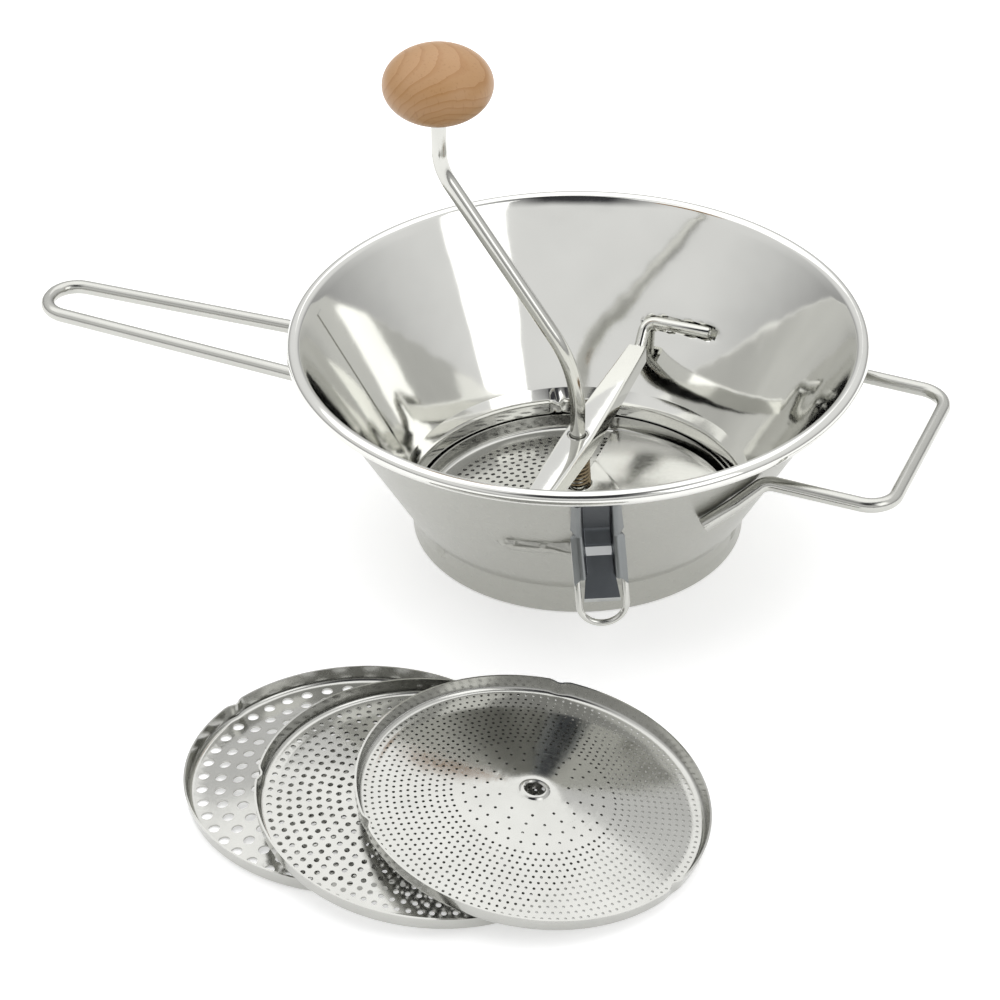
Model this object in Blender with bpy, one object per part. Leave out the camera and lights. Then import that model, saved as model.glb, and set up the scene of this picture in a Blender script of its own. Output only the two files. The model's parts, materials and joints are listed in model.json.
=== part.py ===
# Hand cranked food mill with its spare discs, modelled in metres, +Z up.
# The mill stands on its foot at z = 0. The long handle points to -X, the loop
# handle to +X, and the crossbar lies along Y.

import math

import bmesh
import bpy
from mathutils import Matrix, Vector

sheet = 0.0008

# Discs
discRadius = 0.0700
discFlange = 0.0065
discFlare = 0.0009
marginWidth = 0.0070
discCrown = 0.0095
bossRadius = 0.0080
notchDepth = 0.0016
notchWidth = 0.0060
coarseHole = 0.0022
coarsePitch = 0.0084
coarseEdge = 0.0030
coarseBare = 0.0145
hubClearance = 0.0006

# Places of the spare discs on the table, the first from the bowl's axis, the
# others from the disc that each leans on, as shares of the discs' radius
coarsePlace = (-0.0161, -0.2064)
mediumShiftShares = (0.509, -0.170)
fineShiftShares = (0.536, 0.135)

# Bowl: one thin sheet, with a rolled rim, a cone, a bulged collar and a ledge
# turned in below to carry the disc
rimRadius = 0.1200
rimHeight = 0.0910
beadRadius = 0.0032
footClearance = 0.0006
neckFlare = 0.0046
neckHeight = 0.0190
collarTop = 0.0140
collarMiddle = 0.0080
collarFlare = 0.0012
collarBulge = 0.0003
footCorner = 0.0016
ledgeWidth = 0.0080

# Crossbar: a tapered channel, and the prongs that lock it in the bowl's wall
barTop = 0.0430
barHalfWidth = 0.0067
barEndHalfWidth = 0.0044
barDepth = 0.0090
barEndDepth = 0.0075
barSheet = 0.0012
barEndGap = 0.0120
prongRadius = 0.0026
prongHeight = 0.0490
prongLength = 0.0300
prongLap = 0.0165
prongBend = 0.0050
tunnelClearance = 0.0003
tunnelSpare = 0.0030

# Crank, blade and spring on the mill's axis
rodRadius = 0.0033
rodBottom = 0.0050
rodInKnob = 0.0030
crankOffset = 0.0615
lowerBend = 0.0750
upperBendBelowKnob = 0.0393
lowerBendRadius = 0.0620
upperBendRadius = 0.0250
bladeOverlap = 0.0030
bladeSweepDeg = 185.0
bladeTrailDeg = 96.0
bladeRise = 0.0140
bladeSheet = 0.0010
bladeGap = 0.0006
bladeLip = 0.0040
bladeBoss = 0.0130
hubCollarRadius = 0.0060
hubCollarHeight = 0.0036
pinRadius = 0.0011
washerRadius = 0.0066
washerSheet = 0.0010
upperWasherRadius = 0.0050
springWire = 0.0006
springRadius = 0.0043
springBaseRadius = 0.0053
springCurls = 7.0
bushWall = 0.0007
bushFlange = 0.0006
bushFlangeHeight = 0.0008

# Knob
knobHeight = 0.2015
knobRadius = 0.0232
knobHalfHeight = 0.0158
knobFoot = 0.0085
boreRadius = 0.0052
ferruleLength = 0.0050
retainerHeight = 0.0016

# Handles, both of round wire, with their reach taken from the rim
wireRadius = 0.0031
longRootHalfWidth = 0.0189
longTipHalfWidth = 0.0121
longReach = 0.1296
longRootHeight = 0.0565
longTipHeight = 0.0605
loopNearWidth = 0.0472
loopFarWidth = 0.0450
loopReach = 0.0311
loopRootHeight = 0.0712
loopTipHeight = 0.0692
loopCorner = 0.0120
tailDrop = 0.0155
tailSwingDeg = 14.0
wallBend = 0.0080

# Hooks: a pressed strap with a wire loop under it, one on each side
hookAngleDeg = 25.5
strapSheet = 0.0009
strapTop = 0.0885
strapKink = 0.0660
strapBottom = 0.0288
brimBottom = 0.0435
brimSkew = 0.0045
floorHalfWidth = 0.0062
tongueHalfWidth = 0.0079
brimInner = 0.0070
brimCrest = 0.0080
brimOuter = 0.0105
brimTopOuter = 0.0092
brimHeight = 0.0044
brimEdgeHeight = 0.0022
brimTopShare = 0.64
notchHeight = 0.0036
hookNotch = 0.0018
hookWire = 0.0014
hookWireTop = 0.0600
hookWireBottom = 0.0184
hookWireSpread = 0.0098
hookWireDepth = 0.0006
hookSlant = 0.0740
hookPlumb = 0.0345

# Gaps: between pieces that touch, and in running fits
seatGap = 0.0003
runGap = 0.0004
overrun = 0.0020
fineStep = 0.0000005

roundSegments = 72
discSegments = 36
smallSegments = 24
leanDirections = 120
smoothAngleDeg = 35.0

# Sizes that follow from the ones above
discMargin = discRadius - marginWidth
bladeRadius = discMargin + bladeOverlap
footRadius = discRadius + footClearance + sheet
neckRadius = footRadius + neckFlare
rodTop = knobHeight + rodInKnob
upperBend = knobHeight - upperBendBelowKnob
hubHole = rodRadius + hubClearance

steel = ("spun_steel", (0.62, 0.62, 0.60, 1.0), 0.14, 1.0)
wire = ("plated_wire", (0.70, 0.70, 0.68, 1.0), 0.16, 1.0)
tinned = ("tinned_disc", (0.66, 0.66, 0.64, 1.0), 0.20, 1.0)
darkSteel = ("pressed_strap", (0.30, 0.31, 0.33, 1.0), 0.25, 1.0)
springSteel = ("spring_steel", (0.33, 0.27, 0.20, 1.0), 0.35, 1.0)
beech = ("turned_beech", (0.60, 0.36, 0.15, 1.0), 0.45, 0.0)


def clearScene():
    for item in list(bpy.data.objects):
        bpy.data.objects.remove(item, do_unlink=True)


def finish(owner, settings):
    """The object's own Principled material, in one of the mill's finishes."""
    name, colour, roughness, metallic = settings
    made = bpy.data.materials.new(owner + "_" + name)
    made.use_nodes = True
    shader = made.node_tree.nodes["Principled BSDF"]
    shader.inputs["Base Color"].default_value = colour
    shader.inputs["Roughness"].default_value = roughness
    shader.inputs["Metallic"].default_value = metallic
    return made


def addObject(name, data, settings):
    item = bpy.data.objects.new(name, data)
    bpy.context.scene.collection.objects.link(item)
    data.materials.append(finish(name, settings))
    return item


def meshObject(name, shape, settings):
    """A closed bmesh becomes an object, smooth but for its sharp edges."""
    bmesh.ops.remove_doubles(shape, verts=shape.verts, dist=fineStep)
    bmesh.ops.recalc_face_normals(shape, faces=shape.faces)
    data = bpy.data.meshes.new(name)
    shape.to_mesh(data)
    shape.free()
    data.shade_smooth()
    data.set_sharp_from_angle(angle=math.radians(smoothAngleDeg))
    return addObject(name, data, settings)


def helper(item):
    """A cutter or an inner guide, which is no piece of the mill."""
    item.hide_render = True
    item.display_type = "WIRE"
    return item


def combine(item, other, operation):
    step = item.modifiers.new(operation.lower(), "BOOLEAN")
    step.operation = operation
    step.object = other
    step.solver = "EXACT"
    return item


def offsetLine(points, distance):
    """The line moved to its right-hand side by distance, with mitred corners."""
    moved = []
    count = len(points)
    for i, (x, y) in enumerate(points):
        sides = []
        if i > 0:
            sides.append((points[i - 1], (x, y)))
        if i < count - 1:
            sides.append(((x, y), points[i + 1]))
        normals = []
        for (ax, ay), (bx, by) in sides:
            length = math.hypot(bx - ax, by - ay)
            normals.append(((by - ay) / length, -(bx - ax) / length))
        nx = sum(n[0] for n in normals)
        ny = sum(n[1] for n in normals)
        size = math.hypot(nx, ny)
        nx, ny = nx / size, ny / size
        stretch = nx * normals[0][0] + ny * normals[0][1]
        moved.append((x + nx * distance / stretch, y + ny * distance / stretch))
    return moved


def lathe(name, outline, settings, segments, closed=True):
    """Turns an outline of (radius, height) points round the Z axis."""
    shape = bmesh.new()
    verts = [shape.verts.new((radius, 0.0, height)) for radius, height in outline]
    edges = [shape.edges.new(pair) for pair in zip(verts, verts[1:])]
    if closed:
        edges.append(shape.edges.new((verts[-1], verts[0])))
    bmesh.ops.spin(
        shape,
        geom=verts + edges,
        cent=(0.0, 0.0, 0.0),
        axis=(0.0, 0.0, 1.0),
        angle=2.0 * math.pi,
        steps=segments,
        use_merge=True,
    )
    return meshObject(name, shape, settings)


def ring(name, inner, outer, bottom, top, settings, segments=smallSegments):
    outline = [(inner, bottom), (outer, bottom), (outer, top), (inner, top)]
    return lathe(name, outline, settings, segments)


def arc(centre, radius, startDeg, endDeg, steps):
    points = []
    for i in range(steps + 1):
        angle = math.radians(startDeg + (endDeg - startDeg) * i / steps)
        points.append((centre[0] + radius * math.cos(angle), centre[1] + radius * math.sin(angle)))
    return points


def roundedRoute(corners, radii, steps=5):
    """The corners of a bent wire, each inner one replaced by an arc."""
    route = [Vector(corners[0])]
    for i in range(1, len(corners) - 1):
        corner = Vector(corners[i])
        back = (Vector(corners[i - 1]) - corner).normalized()
        ahead = (Vector(corners[i + 1]) - corner).normalized()
        half = back.angle(ahead) / 2.0
        reach = radii[i - 1] / math.tan(half)
        middle = corner + (back + ahead).normalized() * (radii[i - 1] / math.sin(half))
        first = (corner + back * reach - middle).normalized()
        last = (corner + ahead * reach - middle).normalized()
        for step in range(steps + 1):
            route.append(middle + first.slerp(last, step / steps) * radii[i - 1])
    route.append(Vector(corners[-1]))
    return route


def rod(name, route, radius, settings, resolution=2, closed=False):
    """A round bar along a route, as a mesh with flat ends."""
    line = bpy.data.curves.new(name, "CURVE")
    line.dimensions = "3D"
    line.bevel_depth = radius
    line.bevel_resolution = resolution
    line.use_fill_caps = True
    spline = line.splines.new("POLY")
    spline.points.add(len(route) - 1)
    for point, place in zip(spline.points, route):
        point.co = (place[0], place[1], place[2], 1.0)
    spline.use_cyclic_u = closed
    guide = bpy.data.objects.new(name + "_line", line)
    bpy.context.scene.collection.objects.link(guide)
    bpy.context.view_layer.update()
    data = bpy.data.meshes.new_from_object(guide.evaluated_get(bpy.context.evaluated_depsgraph_get()))
    bpy.data.objects.remove(guide, do_unlink=True)
    bpy.data.curves.remove(line)
    shape = bmesh.new()
    shape.from_mesh(data)
    bpy.data.meshes.remove(data)
    return meshObject(name, shape, settings)


def straightRod(name, start, end, radius, settings, segments=12):
    start, end = Vector(start), Vector(end)
    shape = bmesh.new()
    bmesh.ops.create_cone(
        shape,
        cap_ends=True,
        segments=segments,
        radius1=radius,
        radius2=radius,
        depth=(end - start).length,
        matrix=Matrix.Translation((start + end) / 2.0)
        @ (end - start).to_track_quat("Z", "Y").to_matrix().to_4x4(),
    )
    return meshObject(name, shape, settings)


def mirrored(place, side):
    return (place[0], place[1] * side, place[2])


def wallAngle():
    """The cone's angle from the vertical, with the bead tangent to its inner face."""
    across = rimRadius - neckRadius
    up = rimHeight - neckHeight
    return math.atan2(across, up) - math.asin((beadRadius - sheet) / math.hypot(across, up))


def wallRadius(height):
    """Outer radius of the bowl's wall."""
    return neckRadius + (height - neckHeight) * math.tan(wallAngle())


def onWall(angleDeg, height, standoff):
    """A place outside the wall, at a standoff square to it."""
    slope = wallAngle()
    radius = wallRadius(height) + standoff / math.cos(slope)
    angle = math.radians(angleDeg)
    return (radius * math.cos(angle), radius * math.sin(angle), height)


def makeBowl():
    """The sheet's outer line from bead to ledge, and the same line a sheet inwards."""
    slope = wallAngle()
    joint = rimHeight + (beadRadius - sheet) * math.sin(slope) - beadRadius
    line = [(wallRadius(joint), joint), (neckRadius, neckHeight)]
    line += [(footRadius + collarFlare, collarTop), (footRadius + collarBulge, collarMiddle)]
    line += arc((footRadius - footCorner, footCorner), footCorner, 0.0, -90.0, 2)
    line += [(footRadius - ledgeWidth, 0.0)]
    inside = offsetLine(line, sheet)[:0:-1]
    bead = arc((rimRadius, rimHeight), beadRadius, 180.0 - math.degrees(slope), -90.0, 7)
    bowl = lathe("bowl", line + inside + bead, steel, roundSegments)
    for side in (-1.0, 1.0):
        addTunnel(bowl, side)
    return bowl


def innerWall(height):
    """Inner radius of the bowl's cone."""
    return wallRadius(height) - sheet / math.cos(wallAngle())


def prongReach():
    """Where a prong's middle runs beside the wall, clear of it at its root."""
    return innerWall(prongHeight) - (prongRadius + seatGap) / math.cos(wallAngle())


def addTunnel(bowl, side):
    """The groove pressed outwards in the wall, where a prong of the bar locks."""
    outer = prongRadius + tunnelClearance + sheet
    inner = prongRadius + tunnelClearance
    start = mirrored((0.0, prongReach(), prongHeight), side)
    end = prongLength + tunnelSpare
    cap = helper(straightRod("tunnel_cap", start, (end + sheet, start[1], start[2]), outer, steel))
    low = prongHeight - beadRadius - outer
    high = prongHeight + beadRadius + outer
    middle = sheet / math.cos(wallAngle()) / 2.0
    core = [(0.0, low), (wallRadius(low) - middle, low), (wallRadius(high) - middle, high), (0.0, high)]
    keep = helper(lathe("tunnel_core", core, steel, roundSegments, closed=False))
    combine(cap, keep, "DIFFERENCE")
    hollow = helper(straightRod("tunnel_hollow", (-overrun, start[1], start[2]),
                                (end, start[1], start[2]), inner, steel))
    combine(bowl, cap, "UNION")
    combine(bowl, hollow, "DIFFERENCE")


def discLine():
    """Upper face of a disc, from its hub hole to its rim, above its flat margin."""
    crown = discCrown + sheet
    return [
        (discRadius, discFlange + sheet),
        (discRadius - sheet, discFlange + sheet),
        (discRadius - sheet - discFlare, sheet),
        (discMargin, sheet),
        (bossRadius, crown - sheet),
        (hubHole + sheet, crown),
        (hubHole, crown),
        (hubHole, crown - sheet),
        (bossRadius, crown - sheet - sheet),
        (discMargin - sheet, 0.0),
        (discRadius - discFlare, 0.0),
    ]


def crownHeight(radius):
    """Height of a disc's upper face over its flat underside."""
    if radius >= discMargin:
        return sheet
    share = (discMargin - max(radius, bossRadius)) / (discMargin - bossRadius)
    return sheet + (discCrown - sheet) * share


def pressNotches(item, turnDeg):
    """Three small dents in the rim, where the disc is held from turning."""
    for vert in item.data.vertices:
        radius = math.hypot(vert.co.x, vert.co.y)
        if radius < discMargin + sheet:
            continue
        angle = math.degrees(math.atan2(vert.co.y, vert.co.x)) - turnDeg
        away = (angle + 60.0) % 120.0 - 60.0
        arcLength = abs(math.radians(away)) * radius
        if arcLength >= notchWidth:
            continue
        depth = notchDepth * (1.0 - arcLength / notchWidth) * vert.co.z / (discFlange + sheet)
        vert.co.x -= depth * vert.co.x / radius
        vert.co.y -= depth * vert.co.y / radius


def makeDisc(name, turnDeg):
    disc = lathe(name, discLine(), tinned, discSegments)
    pressNotches(disc, turnDeg)
    return disc


def pierceCoarse(disc):
    """The coarse disc's round holes, in rings that keep one pitch."""
    shape = bmesh.new()
    width = discMargin - coarseEdge - coarseBare
    rings = int(width / coarsePitch + 0.5)
    for ringIndex in range(rings + 1):
        radius = coarseBare + ringIndex * width / rings
        count = int(2.0 * math.pi * radius / coarsePitch)
        for hole in range(count):
            angle = 2.0 * math.pi * (hole + 0.5 * (ringIndex % 2)) / count
            place = Vector((radius * math.cos(angle), radius * math.sin(angle), crownHeight(radius)))
            bmesh.ops.create_cone(
                shape,
                cap_ends=True,
                segments=6,
                radius1=coarseHole,
                radius2=coarseHole,
                depth=2.0 * discFlange,
                matrix=Matrix.Translation(place) @ Matrix.Rotation(angle, 4, "Z"),
            )
    cutter = helper(meshObject("coarse_punch", shape, tinned))
    cutter.parent = disc
    return combine(disc, cutter, "DIFFERENCE")


def highRings():
    """Radius and height of a disc's highest rings: its rim's edges and its boss."""
    rim = discFlange + sheet
    return ((discRadius, rim), (discRadius - sheet, rim), (bossRadius, discCrown + sheet))


def leastLean(lower, place, turn):
    """Least sine of lean, falling towards turn, that clears the lower disc's rim.

    lower is (place, lean, direction) of the disc below.
    """
    (lowX, lowY), lowLean, lowTurn = lower
    ahead = Vector((math.cos(turn), math.sin(turn)))
    least = 0.0
    for i in range(2 * roundSegments):
        angle = math.pi * i / roundSegments
        for radius, top in highRings():
            x = radius * math.cos(angle)
            y = radius * math.sin(angle)
            along = radius * math.cos(angle - lowTurn)
            offset = Vector((lowX + x - place[0], lowY + y - place[1]))
            if offset.length > discRadius:
                continue
            below = (discRadius - along) * lowLean + top
            need = below + seatGap - (crownHeight(offset.length) - sheet)
            least = max(least, need / (discRadius - offset.dot(ahead)))
    return least


def leanOn(lower, place):
    """A disc on another's rim settles in the direction that leans it least."""
    turns = [2.0 * math.pi * i / leanDirections for i in range(leanDirections)]
    return min((leastLean(lower, place, turn), turn) for turn in turns)


def layDisc(disc, place, lean, turn):
    """Puts a disc on the table, its far edge down and its near edge raised."""
    axis = Vector((-math.sin(turn), math.cos(turn), 0.0))
    disc.rotation_mode = "QUATERNION"
    disc.rotation_quaternion = Matrix.Rotation(math.asin(lean), 3, axis).to_quaternion()
    disc.location = (place[0], place[1], discRadius * lean)


def shifted(place, shares):
    return (place[0] + shares[0] * discRadius, place[1] + shares[1] * discRadius)


def makeSpareDiscs():
    coarse = pierceCoarse(makeDisc("coarse_disc", 40.0))
    medium = makeDisc("medium_disc", 75.0)
    fine = makeDisc("fine_disc", 102.0)
    layDisc(coarse, coarsePlace, 0.0, 0.0)
    mediumPlace = shifted(coarsePlace, mediumShiftShares)
    finePlace = shifted(mediumPlace, fineShiftShares)
    mediumLean, mediumTurn = leanOn((coarsePlace, 0.0, 0.0), mediumPlace)
    layDisc(medium, mediumPlace, mediumLean, mediumTurn)
    fineLean, fineTurn = leanOn((mediumPlace, mediumLean, mediumTurn), finePlace)
    layDisc(fine, finePlace, fineLean, fineTurn)
    for name, lean, turn in (("medium", mediumLean, mediumTurn), ("fine", fineLean, fineTurn)):
        print("%s disc: sine of lean %.4f, falling towards %.0f degrees" % (name, lean, math.degrees(turn)))
    return [coarse, medium, fine]


def makeSeatedDisc():
    disc = makeDisc("seated_disc", 98.0)
    disc.location.z = seatedBottom()
    return disc


def seatedBottom():
    return sheet + seatGap


def hubTop():
    """Top of the seated disc's hub, which carries the crank."""
    return seatedBottom() + discCrown + sheet


def barHalfLength():
    return prongReach() - barEndGap


def makeCrossbar():
    """A channel that tapers to both ends, with a bored middle."""
    shape = bmesh.new()
    stations = []
    for share in (-1.0, -0.5, -0.08, 0.08, 0.5, 1.0):
        width = barHalfWidth + (barEndHalfWidth - barHalfWidth) * abs(share)
        depth = barDepth + (barEndDepth - barDepth) * abs(share)
        inside = width - barSheet
        outline = [(-width, 0.0), (width, 0.0), (width, -depth), (inside, -depth),
                   (inside, -barSheet), (-inside, -barSheet), (-inside, -depth), (-width, -depth)]
        y = share * barHalfLength()
        stations.append([shape.verts.new((x, y, barTop + z)) for x, z in outline])
    for first, second in zip(stations, stations[1:]):
        for i in range(len(first)):
            j = (i + 1) % len(first)
            shape.faces.new((first[i], first[j], second[j], second[i]))
    shape.faces.new(stations[0])
    shape.faces.new(stations[-1][::-1])
    bar = meshObject("crossbar", shape, steel)
    bore = rodRadius + runGap + bushWall + seatGap
    cutter = straightRod("bar_bore", (0.0, 0.0, barTop - barDepth), (0.0, 0.0, barTop + overrun),
                         bore, steel, smallSegments)
    return combine(bar, helper(cutter), "DIFFERENCE")


def makeProng(name, side):
    """Round bar under the channel's end, which rises and turns along the wall."""
    low = barTop - barSheet - seatGap - prongRadius
    end = barHalfLength()
    reach = prongReach()
    corners = [(0.0, end - prongLap, low), (0.0, end + prongRadius, low),
               (0.0, reach, prongHeight), (prongLength, reach, prongHeight)]
    corners = [mirrored(corner, side) for corner in corners]
    return rod(name, roundedRoute(corners, [prongBend, prongBend]), prongRadius, wire)


def makeBarFittings():
    """The bush set in the bar from below, and the washer that the spring pushes on."""
    inner = rodRadius + runGap
    outer = inner + bushWall
    base = barTop - barSheet - seatGap
    low = base - bushFlangeHeight
    outline = [(inner, low), (outer + bushFlange, low), (outer + bushFlange, base), (outer, base),
               (outer, barTop), (inner, barTop)]
    bush = lathe("shaft_bush", outline, steel, smallSegments)
    top = low - seatGap
    washer = ring("upper_washer", inner, upperWasherRadius, top - washerSheet, top, wire)
    return [bush, washer]


def makeCrankRod():
    corners = [(0.0, 0.0, rodBottom), (0.0, 0.0, lowerBend), (-crankOffset, 0.0, upperBend),
               (-crankOffset, 0.0, rodTop)]
    crank = rod("crank_rod", roundedRoute(corners, [lowerBendRadius, upperBendRadius], 6),
                rodRadius, wire)
    return combine(crank, helper(pinBar("rod_pin_hole", pinRadius + seatGap)), "DIFFERENCE")


def collarBottom():
    return hubTop() + bladeGap + bladeSheet + seatGap


def pinBar(name, radius):
    """The cross pin, or the wider cutter for its hole, through collar and rod."""
    height = collarBottom() + hubCollarHeight / 2.0
    reach = hubCollarRadius + (overrun if radius > pinRadius else 0.0)
    return straightRod(name, (0.0, -reach, height), (0.0, reach, height), radius, wire)


def makeHubCollar():
    collar = ring("blade_collar", rodRadius + seatGap, hubCollarRadius, collarBottom(),
                  collarBottom() + hubCollarHeight, wire)
    return combine(collar, helper(pinBar("collar_pin_hole", pinRadius + seatGap)), "DIFFERENCE")


def bladeHeight(radius, turned):
    """Underside of the blade: flat at the boss, close to the disc at its trailing
    edge, and higher towards its leading edge. turned runs from 0 to 1."""
    boss = hubTop() + bladeGap
    if radius <= bladeBoss:
        return boss
    out = (radius - bladeBoss) / (bladeRadius - bladeBoss)
    surface = seatedBottom() + crownHeight(radius) + bladeGap
    start = seatedBottom() + crownHeight(bladeBoss) + bladeGap
    return surface + (boss - start) * (1.0 - out) + bladeRise * turned * out


def makeBlade():
    """The half-round pressing blade: a twisted sheet round a flat boss."""
    shape = bmesh.new()
    step = 2.0 * math.pi / (2 * smallSegments)
    sweepSteps = int(math.radians(bladeSweepDeg) / step + 0.5)
    trail = math.radians(bladeTrailDeg)
    full = 2 * smallSegments

    def place(radius, index, lift=0.0):
        angle = trail - index * step
        height = bladeHeight(radius, min(index / sweepSteps, 1.0)) + lift
        return shape.verts.new((radius * math.cos(angle), radius * math.sin(angle), height))

    hole = [place(rodRadius + seatGap, i) for i in range(full)]
    boss = [place(bladeBoss, i) for i in range(full)]
    for i in range(full):
        j = (i + 1) % full
        shape.faces.new((hole[i], hole[j], boss[j], boss[i]))
    inner = boss[:sweepSteps + 1]
    for share in (0.25, 0.5, 0.75, 1.0):
        radius = bladeBoss + (bladeRadius - bladeBoss) * share
        outer = [place(radius, i) for i in range(sweepSteps + 1)]
        for i in range(sweepSteps):
            shape.faces.new((inner[i], inner[i + 1], outer[i + 1], outer[i]))
        if share == 0.25:
            lipVerts = [inner[-1]]
        lipVerts.append(outer[-1])
        inner = outer
    lipTop = []
    for vert in lipVerts[1:]:
        lipTop.append(shape.verts.new(vert.co + Vector((0.0, 0.0, bladeLip))))
    for i in range(1, len(lipTop)):
        shape.faces.new((lipVerts[i], lipVerts[i + 1], lipTop[i], lipTop[i - 1]))
    bmesh.ops.recalc_face_normals(shape, faces=shape.faces)
    data = bpy.data.meshes.new("blade")
    shape.to_mesh(data)
    shape.free()
    if data.polygons[0].normal.z < 0.0:
        data.flip_normals()
    blade = addObject("blade", data, steel)
    thicken = blade.modifiers.new("sheet", "SOLIDIFY")
    thicken.thickness = bladeSheet
    thicken.offset = 1.0
    return blade


def washerBottom():
    return collarBottom() + hubCollarHeight + seatGap


def makePressureWasher():
    return ring("pressure_washer", rodRadius + runGap, washerRadius, washerBottom(),
                washerBottom() + washerSheet, wire)


def springTop():
    """Under the upper washer, which lies under the bush's flange."""
    return barTop - barSheet - bushFlangeHeight - washerSheet - 3.0 * seatGap


def makeSpring():
    """The coil spring that presses the crank down, wound round its rod."""
    bottom = washerBottom() + washerSheet + seatGap + springWire
    top = springTop() - springWire
    perCurl = 9
    steps = int(springCurls * perCurl)
    route = []
    for i in range(steps + 1):
        angle = 2.0 * math.pi * i / perCurl
        height = bottom + (top - bottom) * i / steps
        radius = springBaseRadius + (springRadius - springBaseRadius) * i / steps
        route.append((radius * math.cos(angle), radius * math.sin(angle), height))
    gap = (top - bottom) / springCurls - 2.0 * springWire
    print("spring: least gap between curls %.5f m" % gap)
    return rod("spring", route, springWire, springSteel, 1)


def makeKnob():
    """The turned wooden knob, with the bore that its ferrule lines."""
    foot = knobHalfHeight * math.sqrt(1.0 - (knobFoot / knobRadius) ** 2)
    boreTop = rodTop + seatGap
    outline = [(0.0, boreTop), (boreRadius, boreTop), (boreRadius, knobHeight - foot)]
    start = math.degrees(math.asin(-foot / knobHalfHeight))
    for i in range(13):
        angle = math.radians(start + (90.0 - start) * i / 12)
        outline.append((knobRadius * math.cos(angle), knobHeight + knobHalfHeight * math.sin(angle)))
    outline[-1] = (0.0, knobHeight + knobHalfHeight)
    knob = lathe("knob", outline, beech, discSegments, closed=False)
    bottom = knobHeight - foot
    ferrule = ring("knob_ferrule", rodRadius + runGap, boreRadius - seatGap, bottom,
                   bottom + ferruleLength, wire)
    ringBottom = bottom + ferruleLength + seatGap
    retainer = ring("knob_retainer", rodRadius + seatGap, boreRadius - runGap, ringBottom,
                    ringBottom + retainerHeight, wire)
    for item in (knob, ferrule, retainer):
        item.location.x = -crankOffset
    return [knob, ferrule, retainer]


def tailRoute(rootAngleDeg, rootHeight, direction):
    """Where a leg of a handle meets the wall and runs down it, as places."""
    standoff = wireRadius + seatGap
    places = []
    for share in (0.0, 0.5, 1.0):
        places.append(onWall(rootAngleDeg + direction * tailSwingDeg * share,
                             rootHeight - tailDrop * share, standoff))
    return places


def makeLongHandle():
    """One closed bend of wire, whose two legs run down the wall."""
    radius = wallRadius(longRootHeight) + wireRadius / math.cos(wallAngle())
    root = math.degrees(math.asin(longRootHalfWidth / radius))
    near = tailRoute(180.0 + root, longRootHeight, 1.0)
    far = tailRoute(180.0 - root, longRootHeight, -1.0)
    tip = longTipHeight
    corners = near[::-1]
    end = -rimRadius - longReach
    corners += [(end, -longTipHalfWidth, tip), (end, longTipHalfWidth, tip)]
    corners += far
    bend = longTipHalfWidth - fineStep
    radii = [wallBend, wallBend, bend, bend, wallBend, wallBend]
    return rod("long_handle", roundedRoute(corners, radii), wireRadius, wire)


def makeLoopHandle():
    radius = wallRadius(loopRootHeight) + wireRadius / math.cos(wallAngle())
    nearRoot = math.degrees(math.asin(loopNearWidth / radius))
    farRoot = math.degrees(math.asin(loopFarWidth / radius))
    near = tailRoute(-nearRoot, loopRootHeight, -1.0)
    far = tailRoute(farRoot, loopRootHeight, 1.0)
    corners = near[::-1]
    end = rimRadius + loopReach
    corners += [(end, -loopNearWidth, loopTipHeight), (end, loopFarWidth, loopTipHeight)]
    corners += far
    radii = [wallBend, wallBend, loopCorner, loopCorner, wallBend, wallBend]
    return rod("loop_handle", roundedRoute(corners, radii), wireRadius, wire)


def hookPlace(side, along, radius, height):
    """A place on a hook: along is sideways from its middle. The hooks hang a little
    askew, as in the photo."""
    angle = math.radians(hookAngleDeg)
    along += hookSlant * (hookPlumb - height)
    x = radius * math.sin(angle) + along * math.cos(angle)
    y = radius * math.cos(angle) - along * math.sin(angle)
    return (x, y * side, height)


def strapLine():
    """The strap's wall-side face, as (radius, height) from the top down: along the wall
    to the bend, then upright, which leaves a slot for the rim of a pan."""
    slope = wallAngle()
    stand = (seatGap + floorHalfWidth ** 2 / (2.0 * wallRadius(strapKink))) / math.cos(slope)
    lower = wallRadius(strapKink) + stand
    return [(wallRadius(strapTop) + stand, strapTop), (lower, strapKink), (lower, brimBottom),
            (lower, strapBottom)]


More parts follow.
